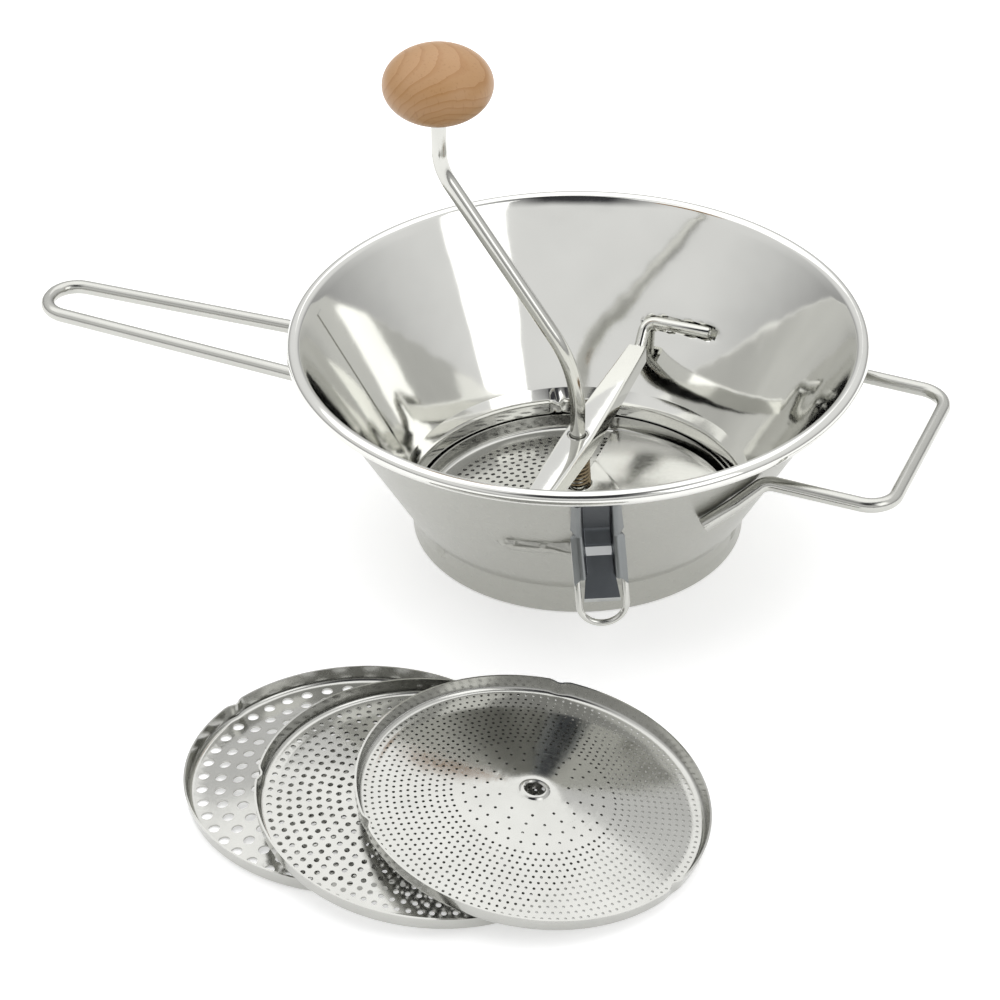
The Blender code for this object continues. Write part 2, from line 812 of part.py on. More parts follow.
def makeStrap(name, side):
    """A pressed channel whose brims fold back to the wall, bent once at its notches."""
    shape = bmesh.new()
    floorLine = strapLine()
    places = [(r, z) for r, z in floorLine]
    brimLine = offsetLine(places, -brimHeight)
    edgeLine = offsetLine(places, -brimEdgeHeight)
    # the brims flatten towards the top, to fit under the bowl's rolled rim
    brimLine[0] = offsetLine(places, -brimHeight * brimTopShare)[0]
    edgeLine[0] = offsetLine(places, -brimEdgeHeight * brimTopShare)[0]

    def across(line, index, alongs, drop=0.0):
        radius, height = line[index]
        return [shape.verts.new(hookPlace(side, along, radius, height - drop)) for along in alongs]

    rows = []
    for index, outer, drop in ((0, brimTopOuter, 0.0), (1, brimOuter, 0.0), (2, brimOuter, brimSkew)):
        row = across(edgeLine, index, (-outer,), drop)
        row += across(brimLine, index, (-brimCrest, -brimInner))
        row += across(floorLine, index, (-floorHalfWidth, floorHalfWidth))
        row += across(brimLine, index, (brimInner, brimCrest))
        row += across(edgeLine, index, (outer,), drop)
        rows.append(row)
    for first, second in zip(rows, rows[1:]):
        for i in range(len(first) - 1):
            shape.faces.new((first[i], first[i + 1], second[i + 1], second[i]))
    tongue = across(floorLine, 3, (-tongueHalfWidth, tongueHalfWidth))
    shape.faces.new((rows[-1][3], rows[-1][4], tongue[1], tongue[0]))
    bmesh.ops.recalc_face_normals(shape, faces=shape.faces)
    data = bpy.data.meshes.new(name)
    shape.to_mesh(data)
    shape.free()
    outward = Vector(hookPlace(side, 0.0, 1.0, 0.0))
    if data.polygons[3].normal.dot(outward) < 0.0:
        data.flip_normals()
    strap = addObject(name, data, darkSteel)
    thicken = strap.modifiers.new("sheet", "SOLIDIFY")
    thicken.thickness = strapSheet
    thicken.offset = 1.0
    thicken.use_even_offset = True
    for end in (-1.0, 1.0):
        combine(strap, strapNotch(name, side, end, edgeLine[1]), "DIFFERENCE")
    return strap


def strapNotch(name, side, end, kink):
    """A round cutter through the brim's edge at the bend."""
    radius, height = kink
    along = end * (brimOuter + notchHeight - hookNotch)
    start = hookPlace(side, along, radius - brimHeight, height)
    stop = hookPlace(side, along, radius + brimHeight, height)
    return helper(straightRod(name + "_notch", start, stop, notchHeight, steel))


def makeHookWire(name, side):
    """The U of wire under a strap, with its legs up behind the brims."""
    radius = strapLine()[-1][0] + hookWireDepth
    corners = []
    for along, height in ((-1.0, hookWireTop), (-1.0, hookWireBottom), (1.0, hookWireBottom),
                          (1.0, hookWireTop)):
        corners.append(hookPlace(side, along * hookWireSpread, radius, height))
    bend = hookWireSpread - fineStep
    return rod(name, roundedRoute(corners, [bend, bend], 6), hookWire, wire)


def centreOnFootprint(items):
    """Moves the whole set so that the origin is under its middle, on the table."""
    bpy.context.view_layer.update()
    graph = bpy.context.evaluated_depsgraph_get()
    low = Vector((math.inf, math.inf, 0.0))
    high = Vector((-math.inf, -math.inf, 0.0))
    for item in items:
        shown = item.evaluated_get(graph)
        for vert in shown.data.vertices:
            place = shown.matrix_world @ vert.co
            low.x, low.y = min(low.x, place.x), min(low.y, place.y)
            high.x, high.y = max(high.x, place.x), max(high.y, place.y)
    root = bpy.data.objects.new("food_mill", None)
    bpy.context.scene.collection.objects.link(root)
    for item in items:
        item.parent = root
    root.location = -(low + high) / 2.0
    bpy.context.view_layer.update()
    print("mill axis at x %.6f, y %.6f m" % (root.location.x, root.location.y))


def main():
    clearScene()
    items = [makeBowl(), makeLongHandle(), makeLoopHandle(), makeSeatedDisc()]
    items += makeSpareDiscs()
    for prefix, side in (("front", -1.0), ("rear", 1.0)):
        items.append(makeStrap(prefix + "_hook_strap", side))
        items.append(makeHookWire(prefix + "_hook_wire", side))
        items.append(makeProng(prefix + "_prong", side))
    items.append(makeCrossbar())
    items += makeBarFittings()
    items += [makeCrankRod(), makeBlade(), makeHubCollar(), pinBar("blade_pin", pinRadius)]
    items += [makePressureWasher(), makeSpring()]
    items += makeKnob()
    helpers = [item for item in bpy.data.objects if item.hide_render and item.parent is None]
    centreOnFootprint(items)
    for item in helpers:
        item.parent = items[0].parent
    bpy.context.view_layer.update()


main()
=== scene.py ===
import json
import math

import bmesh
import bpy
from mathutils import Matrix, Vector


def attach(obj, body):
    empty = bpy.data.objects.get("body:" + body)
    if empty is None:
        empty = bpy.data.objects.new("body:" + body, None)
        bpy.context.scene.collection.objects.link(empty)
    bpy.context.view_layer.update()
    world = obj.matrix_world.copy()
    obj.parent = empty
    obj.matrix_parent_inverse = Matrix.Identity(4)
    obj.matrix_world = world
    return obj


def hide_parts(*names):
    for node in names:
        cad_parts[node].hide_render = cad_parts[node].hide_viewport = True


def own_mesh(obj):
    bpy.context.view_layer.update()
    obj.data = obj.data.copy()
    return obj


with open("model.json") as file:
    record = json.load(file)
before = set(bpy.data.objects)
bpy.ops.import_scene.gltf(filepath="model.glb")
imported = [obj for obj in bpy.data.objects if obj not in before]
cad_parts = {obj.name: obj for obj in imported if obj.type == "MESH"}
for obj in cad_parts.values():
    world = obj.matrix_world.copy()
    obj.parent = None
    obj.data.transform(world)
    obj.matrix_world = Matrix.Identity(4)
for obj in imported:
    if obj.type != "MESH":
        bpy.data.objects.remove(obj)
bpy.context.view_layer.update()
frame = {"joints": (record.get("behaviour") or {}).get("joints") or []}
joints = {joint["name"]: joint for joint in frame["joints"]}
axisX, axisY, _ = joints["crank_turn"]["pos_m"]
toRow = Matrix.Translation((axisX, axisY, 0.0))  # pieces are made round the bowl's axis
print("frame loaded, bowl axis at", round(axisX, 5), round(axisY, 5))

sheet = 0.0008  # thickness of the bowl and the discs
gap = 0.0003  # left between pieces that touch
mergeDistance = 1e-6
sharpDeg = 35.0  # edges that turn by more stay sharp


# Helpers

def vertsIn(items):
    return [item for item in items if isinstance(item, bmesh.types.BMVert)]


def edgesIn(items):
    return [item for item in items if isinstance(item, bmesh.types.BMEdge)]


def between(low, high, share):
    return low + (high - low) * share


def radiusOf(vert):
    return math.hypot(vert.co.x, vert.co.y)


def angleOf(vert):
    return math.atan2(vert.co.y, vert.co.x)


def closeUp(bm):
    bmesh.ops.remove_doubles(bm, verts=bm.verts, dist=mergeDistance)
    bmesh.ops.recalc_face_normals(bm, faces=bm.faces)


def faceAlong(bm, toward):
    # an open sheet shows its upper or outer face: toward gives that direction at a place
    closeUp(bm)
    biggest = max(bm.faces, key=lambda face: face.calc_area())
    if biggest.normal.dot(toward(biggest.calc_center_median())) < 0.0:
        bmesh.ops.reverse_faces(bm, faces=bm.faces)


def addObject(name, data):
    made = bpy.data.objects.new(name, data)
    bpy.context.scene.collection.objects.link(made)
    return made


def newMesh(name, bm):
    mesh = bpy.data.meshes.new(name)
    bm.to_mesh(mesh)
    bm.free()
    return mesh


def addPiece(name, bm, materials, body, nodes=(), place=None, thickness=None,
             shellSlot=0, cutters=(), even=True):
    bmesh.ops.transform(bm, matrix=toRow @ (place or Matrix()), verts=bm.verts)
    piece = addObject(name, newMesh(name, bm))
    for material in materials:
        piece.data.materials.append(material)
    if thickness:
        wall = piece.modifiers.new("sheet", "SOLIDIFY")
        wall.thickness = thickness
        wall.offset = -1.0
        wall.use_even_offset = even
        wall.material_offset = shellSlot
        wall.material_offset_rim = shellSlot
    for cutter in cutters:
        cut = piece.modifiers.new("cut", "BOOLEAN")
        cut.operation = "DIFFERENCE"
        cut.solver = "EXACT"
        cut.object = cutter
    if thickness or cutters:
        graph = bpy.context.evaluated_depsgraph_get()
        made = bpy.data.meshes.new_from_object(piece.evaluated_get(graph))
        made.name = name
        piece.modifiers.clear()
        piece.data = made
        for cutter in cutters:
            bpy.data.objects.remove(cutter, do_unlink=True)
    piece.data.shade_smooth()
    piece.data.set_sharp_from_angle(angle=math.radians(sharpDeg))
    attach(piece, body)
    if nodes:
        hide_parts(*nodes)
    return piece


def arcAt(before, corner, after, radius):
    # where the arc that rounds a corner starts, its centre, the angle it turns by and its axis
    back = (before - corner).normalized()
    onward = (after - corner).normalized()
    half = back.angle(onward) / 2.0
    start = corner + back * (radius / math.tan(half))
    centre = corner + (back + onward).normalized() * (radius / math.sin(half))
    return start, centre, math.pi - 2.0 * half, onward.cross(back)


def bentLine(corners, radii, steps=8):
    # corners of a line in one or more planes, each inner one rounded to its radius
    corners = [Vector(corner) for corner in corners]
    line = [corners[0]]
    for i, radius in enumerate(radii):
        start, centre, turn, axis = arcAt(*corners[i:i + 3], radius)
        for step in range(steps + 1):
            line.append(centre + Matrix.Rotation(turn * step / steps, 3, axis) @ (start - centre))
    line.append(corners[-1])
    return line


def offsetLine(line, distance):
    # a line in the XZ plane moved to its left by distance
    moved = []
    for i, point in enumerate(line):
        before = line[max(i - 1, 0)]
        after = line[min(i + 1, len(line) - 1)]
        first = (point - before).normalized() if i else (after - point).normalized()
        second = (after - point).normalized() if i < len(line) - 1 else first
        across = Vector((-(first.z + second.z), 0.0, first.x + second.x)).normalized()
        stretch = across.dot(Vector((-first.z, 0.0, first.x)))
        moved.append(point + across * (distance / stretch))
    return moved


def drawLine(bm, points, closed=False):
    verts = [bm.verts.new(point) for point in points]
    edges = [bm.edges.new(pair) for pair in zip(verts, verts[1:])]
    if closed:
        edges.append(bm.edges.new((verts[-1], verts[0])))
    return verts, edges


def turnRound(bm, points, steps, closed=False, share=1.0):
    # a line turned about the axis, all the way round or a share of it
    verts, edges = drawLine(bm, points, closed)
    bmesh.ops.spin(bm, geom=verts + edges, cent=(0, 0, 0), axis=(0, 0, 1),
                   angle=2.0 * math.pi * share, steps=steps, use_merge=share == 1.0)


def drawCircle(bm, sides, radius, matrix):
    verts = bmesh.ops.create_circle(bm, segments=sides, radius=radius, matrix=matrix)["verts"]
    return verts, list({edge for vert in verts for edge in vert.link_edges})


def drawOut(bm, loop, matrix):
    # draws edges out to where the matrix takes them and gives the new ones
    made = bmesh.ops.extrude_edge_only(bm, edges=loop)["geom"]
    fresh = set(vertsIn(made))
    bmesh.ops.transform(bm, verts=list(fresh), matrix=matrix)
    return [edge for edge in edgesIn(made) if fresh.issuperset(edge.verts)]


def easeEdges(bm, edges, offset, segments):
    bmesh.ops.bevel(bm, geom=edges, offset=offset, segments=segments, profile=0.5, affect="EDGES",
                    material=-1)


def bendWire(corners, radii, radius, sides=24, turnDeg=5.0, endBevel=0.0004):
    # a round bar drawn straight between corners and bent round each one
    bm = bmesh.new()
    corners = [Vector(corner) for corner in corners]
    ahead = (corners[1] - corners[0]).normalized().to_track_quat("Z", "Y").to_matrix().to_4x4()
    first = drawCircle(bm, sides, radius, Matrix.Translation(corners[0]) @ ahead)[1]
    loop = first
    last = corners[0]
    for i, bend in enumerate(radii):
        start, centre, turn, axis = arcAt(*corners[i:i + 3], bend)
        loop = drawOut(bm, loop, Matrix.Translation(start - last))
        verts = list({vert for edge in loop for vert in edge.verts})
        spun = bmesh.ops.spin(bm, geom=verts + loop, cent=centre, axis=axis,
                              angle=turn, steps=max(2, math.ceil(math.degrees(turn) / turnDeg)))
        loop = edgesIn(spun["geom_last"])
        last = centre + Matrix.Rotation(turn, 3, axis) @ (start - centre)
    loop = drawOut(bm, loop, Matrix.Translation(corners[-1] - last))
    for end in (first, loop):
        bmesh.ops.edgeloop_fill(bm, edges=end)
    easeEdges(bm, first + loop, endBevel, 2)
    closeUp(bm)
    return bm


def turnedRing(inner, outer, low, high, steps, ease=0.0002):
    # washers, bushes and collars, with eased edges
    bm = bmesh.new()
    outline = [(inner, 0, low), (outer - ease, 0, low), (outer, 0, low + ease),
               (outer, 0, high - ease), (outer - ease, 0, high), (inner + ease, 0, high),
               (inner, 0, high - ease)]
    turnRound(bm, outline, steps, closed=True)
    closeUp(bm)
    return bm


# Materials

def linear(hexColour):
    # an sRGB hex colour as the linear one that shaders take
    out = []
    for i in (0, 2, 4):
        value = int(hexColour[i:i + 2], 16) / 255.0
        out.append(value / 12.92 if value <= 0.04045 else ((value + 0.055) / 1.055) ** 2.4)
    return (*out, 1.0)


def setNode(owner, node, settings=None, links=None):
    # a node given as a link's source stands for its first output
    for name, value in (settings or {}).items():
        if isinstance(name, str) and hasattr(node, name):
            setattr(node, name, value)
        else:
            node.inputs[name].default_value = value
    for name, source in (links or {}).items():
        if isinstance(source, bpy.types.Node):
            source = source.outputs[0]
        owner.node_tree.links.new(source, node.inputs[name])
    return node


def addNode(owner, kind, settings=None, links=None):
    return setNode(owner, owner.node_tree.nodes.new("ShaderNode" + kind), settings, links)


def fillRamp(node, stops):
    # a new ramp has the stops 0 and 1, which take the first and last colour
    ramp = node.color_ramp.elements
    ramp[0].color, ramp[1].color = stops[0][1], stops[-1][1]
    for position, colour in stops[1:-1]:
        ramp.new(position).color = colour


def newMaterial(name):
    material = bpy.data.materials.new(name)
    material.use_nodes = True
    where = addNode(material, "TexCoord").outputs["Object"]
    return material, material.node_tree.nodes["Principled BSDF"], where


def metal(name, dark, light, rough, streaks, waves, lay=1):
    # colour drifts a little between two tones, the lay of the polish makes fine streaks
    # rough is the least and most roughness, streaks and waves are a scale and a strength:
    # at a scale of 500 a streak is about 2 mm wide, at 50 a cloud is about 20 mm
    material, shader, where = newMaterial(name)
    stretch = addNode(material, "Mapping", {"Scale": (1, 1, lay)}, {"Vector": where})
    lines = addNode(material, "TexNoise", {"Scale": streaks[0], "Detail": 3.0, "Roughness": 0.6},
                    {"Vector": stretch})
    clouds = addNode(material, "TexNoise", {"Scale": waves[0], "Detail": 2.0}, {"Vector": where})
    tone = addNode(material, "Mix", {"data_type": "RGBA", 6: linear(dark), 7: linear(light)}, {0: clouds})
    # noise lies mostly between 0.3 and 0.7
    polish = addNode(material, "MapRange", {"From Min": 0.3, "From Max": 0.7, "To Min": rough[0],
                                            "To Max": rough[1]}, {"Value": lines})
    # waves 1 mm deep at full strength, streaks 0.1 mm
    wave = addNode(material, "Bump", {"Strength": waves[1], "Distance": 0.001}, {"Height": clouds})
    fine = addNode(material, "Bump", {"Strength": streaks[1], "Distance": 0.0001},
                   {"Height": lines, "Normal": wave})
    setNode(material, shader, {"Metallic": 1.0},
            {"Base Color": tone.outputs[2], "Roughness": polish, "Normal": fine})
    return material


# Polished stainless sheet: nearly a mirror, a little wavy from the spinning lathe
polished = metal("polished_stainless", "D6D6D2", "E4E4E0",
    rough=(0.05, 0.09), streaks=(900.0, 0.02), waves=(30.0, 0.22), lay=6)
# Satin stainless sheet, buffed round the bowl: blurs what it reflects, warm grey
satin = metal("satin_stainless", "AEAEA8", "B4B4AE",
    rough=(0.26, 0.34), streaks=(420.0, 0.05), waves=(30.0, 0.05), lay=14)
# Bright nickel plated wire: clean highlights, slightly warm
plated = metal("plated_wire", "C4C4BF", "D0D0CB",
    rough=(0.08, 0.13), streaks=(700.0, 0.02), waves=(60.0, 0.08))
# Handle wire, plated and tumbled: a softer shine than the crank's
handleFinish = metal("tumbled_wire", "B8B8B3", "C2C2BD",
    rough=(0.16, 0.22), streaks=(600.0, 0.03), waves=(50.0, 0.06))
# Bright tinned sheet of the discs: light
tinned = metal("tinned_sheet", "B0B0AC", "C0C0BC",
    rough=(0.12, 0.20), streaks=(500.0, 0.03), waves=(55.0, 0.14))
# Bright tinned sheet of the blade, rolled smooth and dulled by use
bladeFinish = metal("worn_tinned_sheet", "D2D2CE", "DEDEDA",
    rough=(0.17, 0.25), streaks=(500.0, 0.03), waves=(40.0, 0.08))
# Pressed mild steel strap, dark grey; the floor between its brims is a darker copy, painted shade of the
# recess
strapBrim = metal("pressed_steel_brim", "7C7F80", "888B8B",
    rough=(0.28, 0.36), streaks=(500.0, 0.05), waves=(80.0, 0.10), lay=4)
strapShade = metal("pressed_steel_floor_painted_shade", "484B4F", "535659",
    rough=(0.28, 0.36), streaks=(500.0, 0.05), waves=(80.0, 0.10), lay=4)
# Painted highlight on the strap: a lighter copy for the lip's lower band and the tongue's bent end
strapHighlight = metal("painted_highlight_strap", "C6C8C8", "D2D4D4",
    rough=(0.30, 0.40), streaks=(500.0, 0.05), waves=(80.0, 0.10), lay=4)
# Oiled spring wire: brown steel
springSteel = metal("oiled_spring_steel", "6A5F4E", "8E8067",
    rough=(0.28, 0.40), streaks=(900.0, 0.05), waves=(200.0, 0.10))


beechLook = dict(
    place=(-0.0495, -0.030, 0.186), tilt=(1.35, 0.10, 0.35),  # the tree's core passes here
    rings=112.0,  # year rings 2.8 mm apart
    tones=((0.0, "BA9064"), (0.7, "B68C5F"), (1.0, "AC7E4E")),
    rays=(2600.0, 2600.0, 420.0), rayScale=0.35, rayTone="96683A", rayShare=0.30,  # 1 mm by 7 mm
    rough=0.38,
)


def turnedBeech():
    # Beech, turned and waxed: soft year rings that the ball cuts across, short dark rays
    look = beechLook
    material, shader, where = newMaterial("waxed_beech")
    x, y, z = look["place"]
    centred = addNode(material, "Mapping", {"Location": (-axisX - x, -axisY - y, -z)}, {"Vector": where})
    tilted = addNode(material, "Mapping", {"Rotation": look["tilt"]}, {"Vector": centred})
    rings = addNode(material, "TexWave",
                    {"wave_type": "RINGS", "rings_direction": "Z", "wave_profile": "SAW",
                     "Scale": look["rings"], "Distortion": 1.8, "Detail": 2.0, "Detail Scale": 1.2},
                    {"Vector": tilted})
    ringTone = addNode(material, "ValToRGB", links={"Fac": rings.outputs["Fac"]})
    fillRamp(ringTone, [(position, linear(colour)) for position, colour in look["tones"]])
    thin = addNode(material, "Mapping", {"Scale": look["rays"]}, {"Vector": where})
    rays = addNode(material, "TexNoise", {"Scale": look["rayScale"], "Detail": 2.0}, {"Vector": thin})
    rayTone = addNode(material, "MapRange", {"From Min": 0.58, "From Max": 0.72, "To Min": 0.0,
                                             "To Max": look["rayShare"]}, {"Value": rays})
    mixed = addNode(material, "Mix", {"data_type": "RGBA", 7: linear(look["rayTone"])},
                    {0: rayTone, 6: ringTone})
    grain = addNode(material, "Bump", {"Strength": 0.10, "Distance": 0.0002}, {"Height": rays})
    setNode(material, shader, {"Roughness": look["rough"], "IOR": 1.5},
            {"Base Color": mixed.outputs[2], "Normal": grain})
    return material


beech = turnedBeech()
print("materials made")


# Bowl

bowlSize = dict(
    rimRadius=0.1200, rimHeight=0.0910, bead=0.0032, curlEndDeg=-160.0, curlSteps=26,
    footRadius=0.0714, neckRadius=0.0760, neckHeight=0.0190, collarTop=(0.0726, 0.0140),
    collarMiddle=(0.0717, 0.0080), ledge=0.0080, bends=(0.0075, 0.0050, 0.0080, 0.0016),
    steps=320, wallFoot=0.0120, row=0.0040, fineRow=0.0008, fineZone=(0.0380, 0.0620),
    stopsDeg=(117.0, 237.0, -3.0), stopLow=0.0085, stopHigh=0.0165, stopWidth=0.0030,
    stopDepth=0.0020, stopShape=(0.6, 1.5), groove=0.0029, grooveStart=-0.0005,
    grooveEnd=0.0330, grooveTaper=0.0070, grooveBase=0.0021, grooveTop=0.0600,
    grooveEase=0.15, seamDeg=186.0, seamWidth=0.0052, seamRise=0.0005, seamSheet=0.0004,
)


def wallSlope():
    across = bowlSize["rimRadius"] - bowlSize["neckRadius"]
    up = bowlSize["rimHeight"] - bowlSize["neckHeight"]
    return math.atan2(across, up) - math.asin((bowlSize["bead"] - sheet) / math.hypot(across, up))


def wallRadius(height):
    return bowlSize["neckRadius"] + (height - bowlSize["neckHeight"]) * math.tan(wallSlope())


def onWall(angleDeg, height, standoff):
    radius = wallRadius(height) + standoff / math.cos(wallSlope())
    angle = math.radians(angleDeg)
    return Vector((radius * math.cos(angle), radius * math.sin(angle), height))


prongSize = dict(radius=0.0026, height=0.0490, length=0.0300, lap=0.0165, bend=0.0050)


def prongReach():
    # where a prong runs beside the wall, clear of it at its root
    return wallRadius(prongSize["height"]) - (sheet + prongSize["radius"] + gap) / math.cos(wallSlope())


def bowlLine():
    # the sheet's inner face, from the ledge's edge up and over the rolled rim
    size = bowlSize
    slope = wallSlope()
    height = size["rimHeight"] + (size["bead"] - sheet) * math.sin(slope) - size["bead"]
    low, high = size["fineZone"]
    wall = [Vector((wallRadius(height), 0, height))]
    while height > size["neckHeight"] + size["wallFoot"]:
        height -= size["fineRow"] if low < height < high else size["row"]
        wall.append(Vector((wallRadius(height), 0, height)))
    foot = size["footRadius"]
    below = ((size["neckRadius"], size["neckHeight"]), size["collarTop"], size["collarMiddle"],
             (foot, 0.0), (foot - size["ledge"], 0.0))
    corners = wall[-1:] + [(across, 0, up) for across, up in below]
    outer = wall[:-1] + bentLine(corners, size["bends"], 7)
    inner = offsetLine(outer, -sheet)[::-1]
    start = 180.0 - math.degrees(slope)
    for step in range(size["curlSteps"] + 1):
        angle = math.radians(between(start, size["curlEndDeg"], step / size["curlSteps"]))
        inner.append(Vector((size["rimRadius"] + size["bead"] * math.cos(angle), 0,
                             size["rimHeight"] + size["bead"] * math.sin(angle))))
    return inner


def inward(place):
    return Vector((-place.x, -place.y, 0.05))


def upward(place):
    return Vector((0, 0, 1))


def pushIn(vert, depth):
    # moves a vertex towards the axis
    radius = radiusOf(vert)
    vert.co.x -= depth * vert.co.x / radius
    vert.co.y -= depth * vert.co.y / radius


def pressGroove(vert):
    # the grooves where the bar's prongs lock: of one height, pointed where they start
    size = bowlSize
    slope = wallSlope()
    x, y, z = vert.co
    radius = radiusOf(vert)
    half = size["groove"]
    after = (x - size["grooveEnd"] + half) / half
    before = (size["grooveStart"] + size["grooveTaper"] - x) / size["grooveTaper"]
    half *= math.sqrt(max(1.0 - max(after, before, 0.0) ** 2, 0.0))
    out = Vector((0.0, y / radius * math.cos(slope), -math.sin(slope)))
    away = Vector((0.0, y - math.copysign(prongReach(), y), z - prongSize["height"]))
    along = away.dot(out) / out.length_squared
    room = half ** 2 - (away.length_squared - along ** 2 * out.length_squared)
    if room > 0.0:
        dome = math.sqrt(room)
        push = max(dome / out.length - along, size["grooveBase"] * math.sqrt(dome / size["groove"]))
        vert.co += Vector((x / radius * math.cos(slope), out.y, out.z)) * push
    return room > 0.0


def pressStops(vert):
    # the stops pressed into the collar over the disc's rim
    size = bowlSize
    upPower, sidePower = size["stopShape"]
    radius = radiusOf(vert)
    angle = angleOf(vert)
    up = (vert.co.z - size["stopLow"]) / (size["stopHigh"] - size["stopLow"])
    for stopDeg in size["stopsDeg"]:
        side = abs(math.remainder(angle - math.radians(stopDeg), 2.0 * math.pi)) * radius / size["stopWidth"]
        if side < 1.0:
            pushIn(vert, size["stopDepth"] * math.sin(math.pi * up) ** upPower
                   * math.cos(side * math.pi / 2) ** sidePower)


def makeBowl():
    size = bowlSize
    bm = bmesh.new()
    turnRound(bm, bowlLine(), size["steps"])
    faceAlong(bm, inward)
    low, high = size["fineZone"]
    pressed = []
    for vert in bm.verts:
        x, y, z = vert.co
        radius = radiusOf(vert)
        if size["grooveStart"] < x < size["grooveEnd"] and low < z < size["grooveTop"]:
            if radius < wallRadius(high) and pressGroove(vert):
                pressed.append(vert)
        if size["stopLow"] < z < size["stopHigh"] and radius < size["neckRadius"]:
            pressStops(vert)
    near = {other for vert in pressed for edge in vert.link_edges for other in edge.verts}
    bmesh.ops.smooth_vert(bm, verts=list(near), factor=size["grooveEase"], use_axis_x=True,
                          use_axis_y=True, use_axis_z=True)
    addPiece("bowl_sheet", bm, [polished, satin], "mill", ["bowl"],
             thickness=sheet, shellSlot=1)


def makeSeam():
    # the wall's lapped joint, a low flat ridge on the inner face
    size = bowlSize
    bm = bmesh.new()
    half = math.degrees(size["seamWidth"] / 2.0 / size["rimRadius"])
    line = [onWall(size["seamDeg"] - half, height, -(sheet + size["seamRise"]))
            for height in (size["neckHeight"] + 0.004, size["rimHeight"] - 0.003)]
    turnRound(bm, line, 6, share=half / 180.0)
    faceAlong(bm, inward)
    bmesh.ops.solidify(bm, geom=bm.faces, thickness=size["seamSheet"])
    closeUp(bm)
    addPiece("bowl_seam", bm, [polished], "mill")


# Handles

handleSize = dict(wire=0.0031, tailDrop=0.0155, tailSwingDeg=14.0, wallBend=0.0080)

# Widths are to the near and the far wire from the middle, at the wall and at the tip.
# The long handle's two corners all but meet.
handles = {
    "long": dict(
        side=-1.0, startDeg=180.0, rootWidths=(0.0189, 0.0189), tipWidths=(0.0121, 0.0121),
        reach=0.1296, rootHeight=0.0565, tipHeight=0.0605, corner=0.0120995,
    ),
    "loop": dict(
        side=1.0, startDeg=0.0, rootWidths=(0.0472, 0.0450), tipWidths=(0.0472, 0.0450), reach=0.0311,
        rootHeight=0.0712, tipHeight=0.0692, corner=0.0120,
    ),
}


def makeHandle(prefix, facts):
    # the wire's ends lie on the wall, swing down along it and are brazed there
    size = handleSize
    height = facts["rootHeight"]
    tails = []
    for turn, width in zip((-facts["side"], facts["side"]), facts["rootWidths"]):
        radius = wallRadius(height) + size["wire"] / math.cos(wallSlope())
        root = facts["startDeg"] + turn * math.degrees(math.asin(width / radius))
        tails.append([onWall(root + turn * size["tailSwingDeg"] * share, height - size["tailDrop"] * share,
                             size["wire"] + gap) for share in (0.0, 0.5, 1.0)])
    end = facts["side"] * (bowlSize["rimRadius"] + facts["reach"])
    near, far = facts["tipWidths"]
    tips = [(end, -near, facts["tipHeight"]), (end, far, facts["tipHeight"])]
    wall, corner = size["wallBend"], facts["corner"]
    bm = bendWire(tails[0][::-1] + tips + tails[1], (wall, wall, corner, corner, wall, wall),
                  size["wire"], sides=32, turnDeg=4.0)
    addPiece(prefix + "_handle_wire", bm, [handleFinish], "mill", [prefix + "_handle"])


# Crossbar and prongs

barSize = dict(
    top=0.0430, half=0.0067, endHalf=0.0044, depth=0.0090, endDepth=0.0075, taper=1.15, steps=24,
    sheet=0.0012, endGap=0.0120, fold=0.0013, bore=0.0047,
)


def barSection(along):
    # half width and depth of the channel, along from -1 at one end to 1 at the other
    size = barSize
    spread = abs(along) ** size["taper"]
    return between(size["half"], size["endHalf"], spread), between(size["depth"], size["endDepth"], spread)


def makeCrossbar():
    size = barSize
    half = prongReach() - size["endGap"]
    top = Matrix.Translation((0, 0, size["top"]))
    stages = [2.0 * step / size["steps"] - 1.0 for step in range(size["steps"] + 1)]
    width, depth = barSection(stages[0])
    bm = bmesh.new()
    loop = drawLine(bm, [(-width, -half, size["top"] - depth), (-width, -half, size["top"]),
                         (width, -half, size["top"]), (width, -half, size["top"] - depth)])[1]
    for before, after in zip(stages, stages[1:]):
        wide, deep = (new / old for new, old in zip(barSection(after), barSection(before)))
        narrow = top @ Matrix.Diagonal((wide, 1.0, deep, 1.0)) @ top.inverted()
        loop = drawOut(bm, loop, Matrix.Translation((0, (after - before) * half, 0)) @ narrow)
    closeUp(bm)
    folds = []
    for edge in bm.edges:  # the ones that run along the bar's top
        one, two = (vert.co for vert in edge.verts)
        if abs(one.y - two.y) > 1e-5 and min(one.z, two.z) > size["top"] - 1e-5:
            folds.append(edge)
    easeEdges(bm, folds, size["fold"], 4)
    faceAlong(bm, lambda place: Vector((place.x * 0.2, 0, 1)))
    punch = bmesh.new()
    bmesh.ops.create_cone(punch, cap_ends=True, segments=64, radius1=size["bore"], radius2=size["bore"],
                          depth=0.02, matrix=toRow @ top)
    addPiece("crossbar_channel", bm, [polished], "mill", ["crossbar"],
             thickness=size["sheet"], cutters=[addObject("bar_punch", newMesh("bar_punch", punch))])


def makeProng(prefix, side):
    size = prongSize
    low = barSize["top"] - barSize["sheet"] - gap - size["radius"]
    end = prongReach() - barSize["endGap"]
    beside = prongReach() * side
    corners = [(0, (end - size["lap"]) * side, low), (0, (end + size["radius"]) * side, low),
               (0, beside, size["height"]), (size["length"], beside, size["height"])]
    bm = bendWire(corners, (size["bend"], size["bend"]), size["radius"], sides=28, turnDeg=6.0,
                  endBevel=0.0008)
    addPiece(prefix + "_prong_bar", bm, [plated], "mill", [prefix + "_prong"])


# Crank, blade and spring

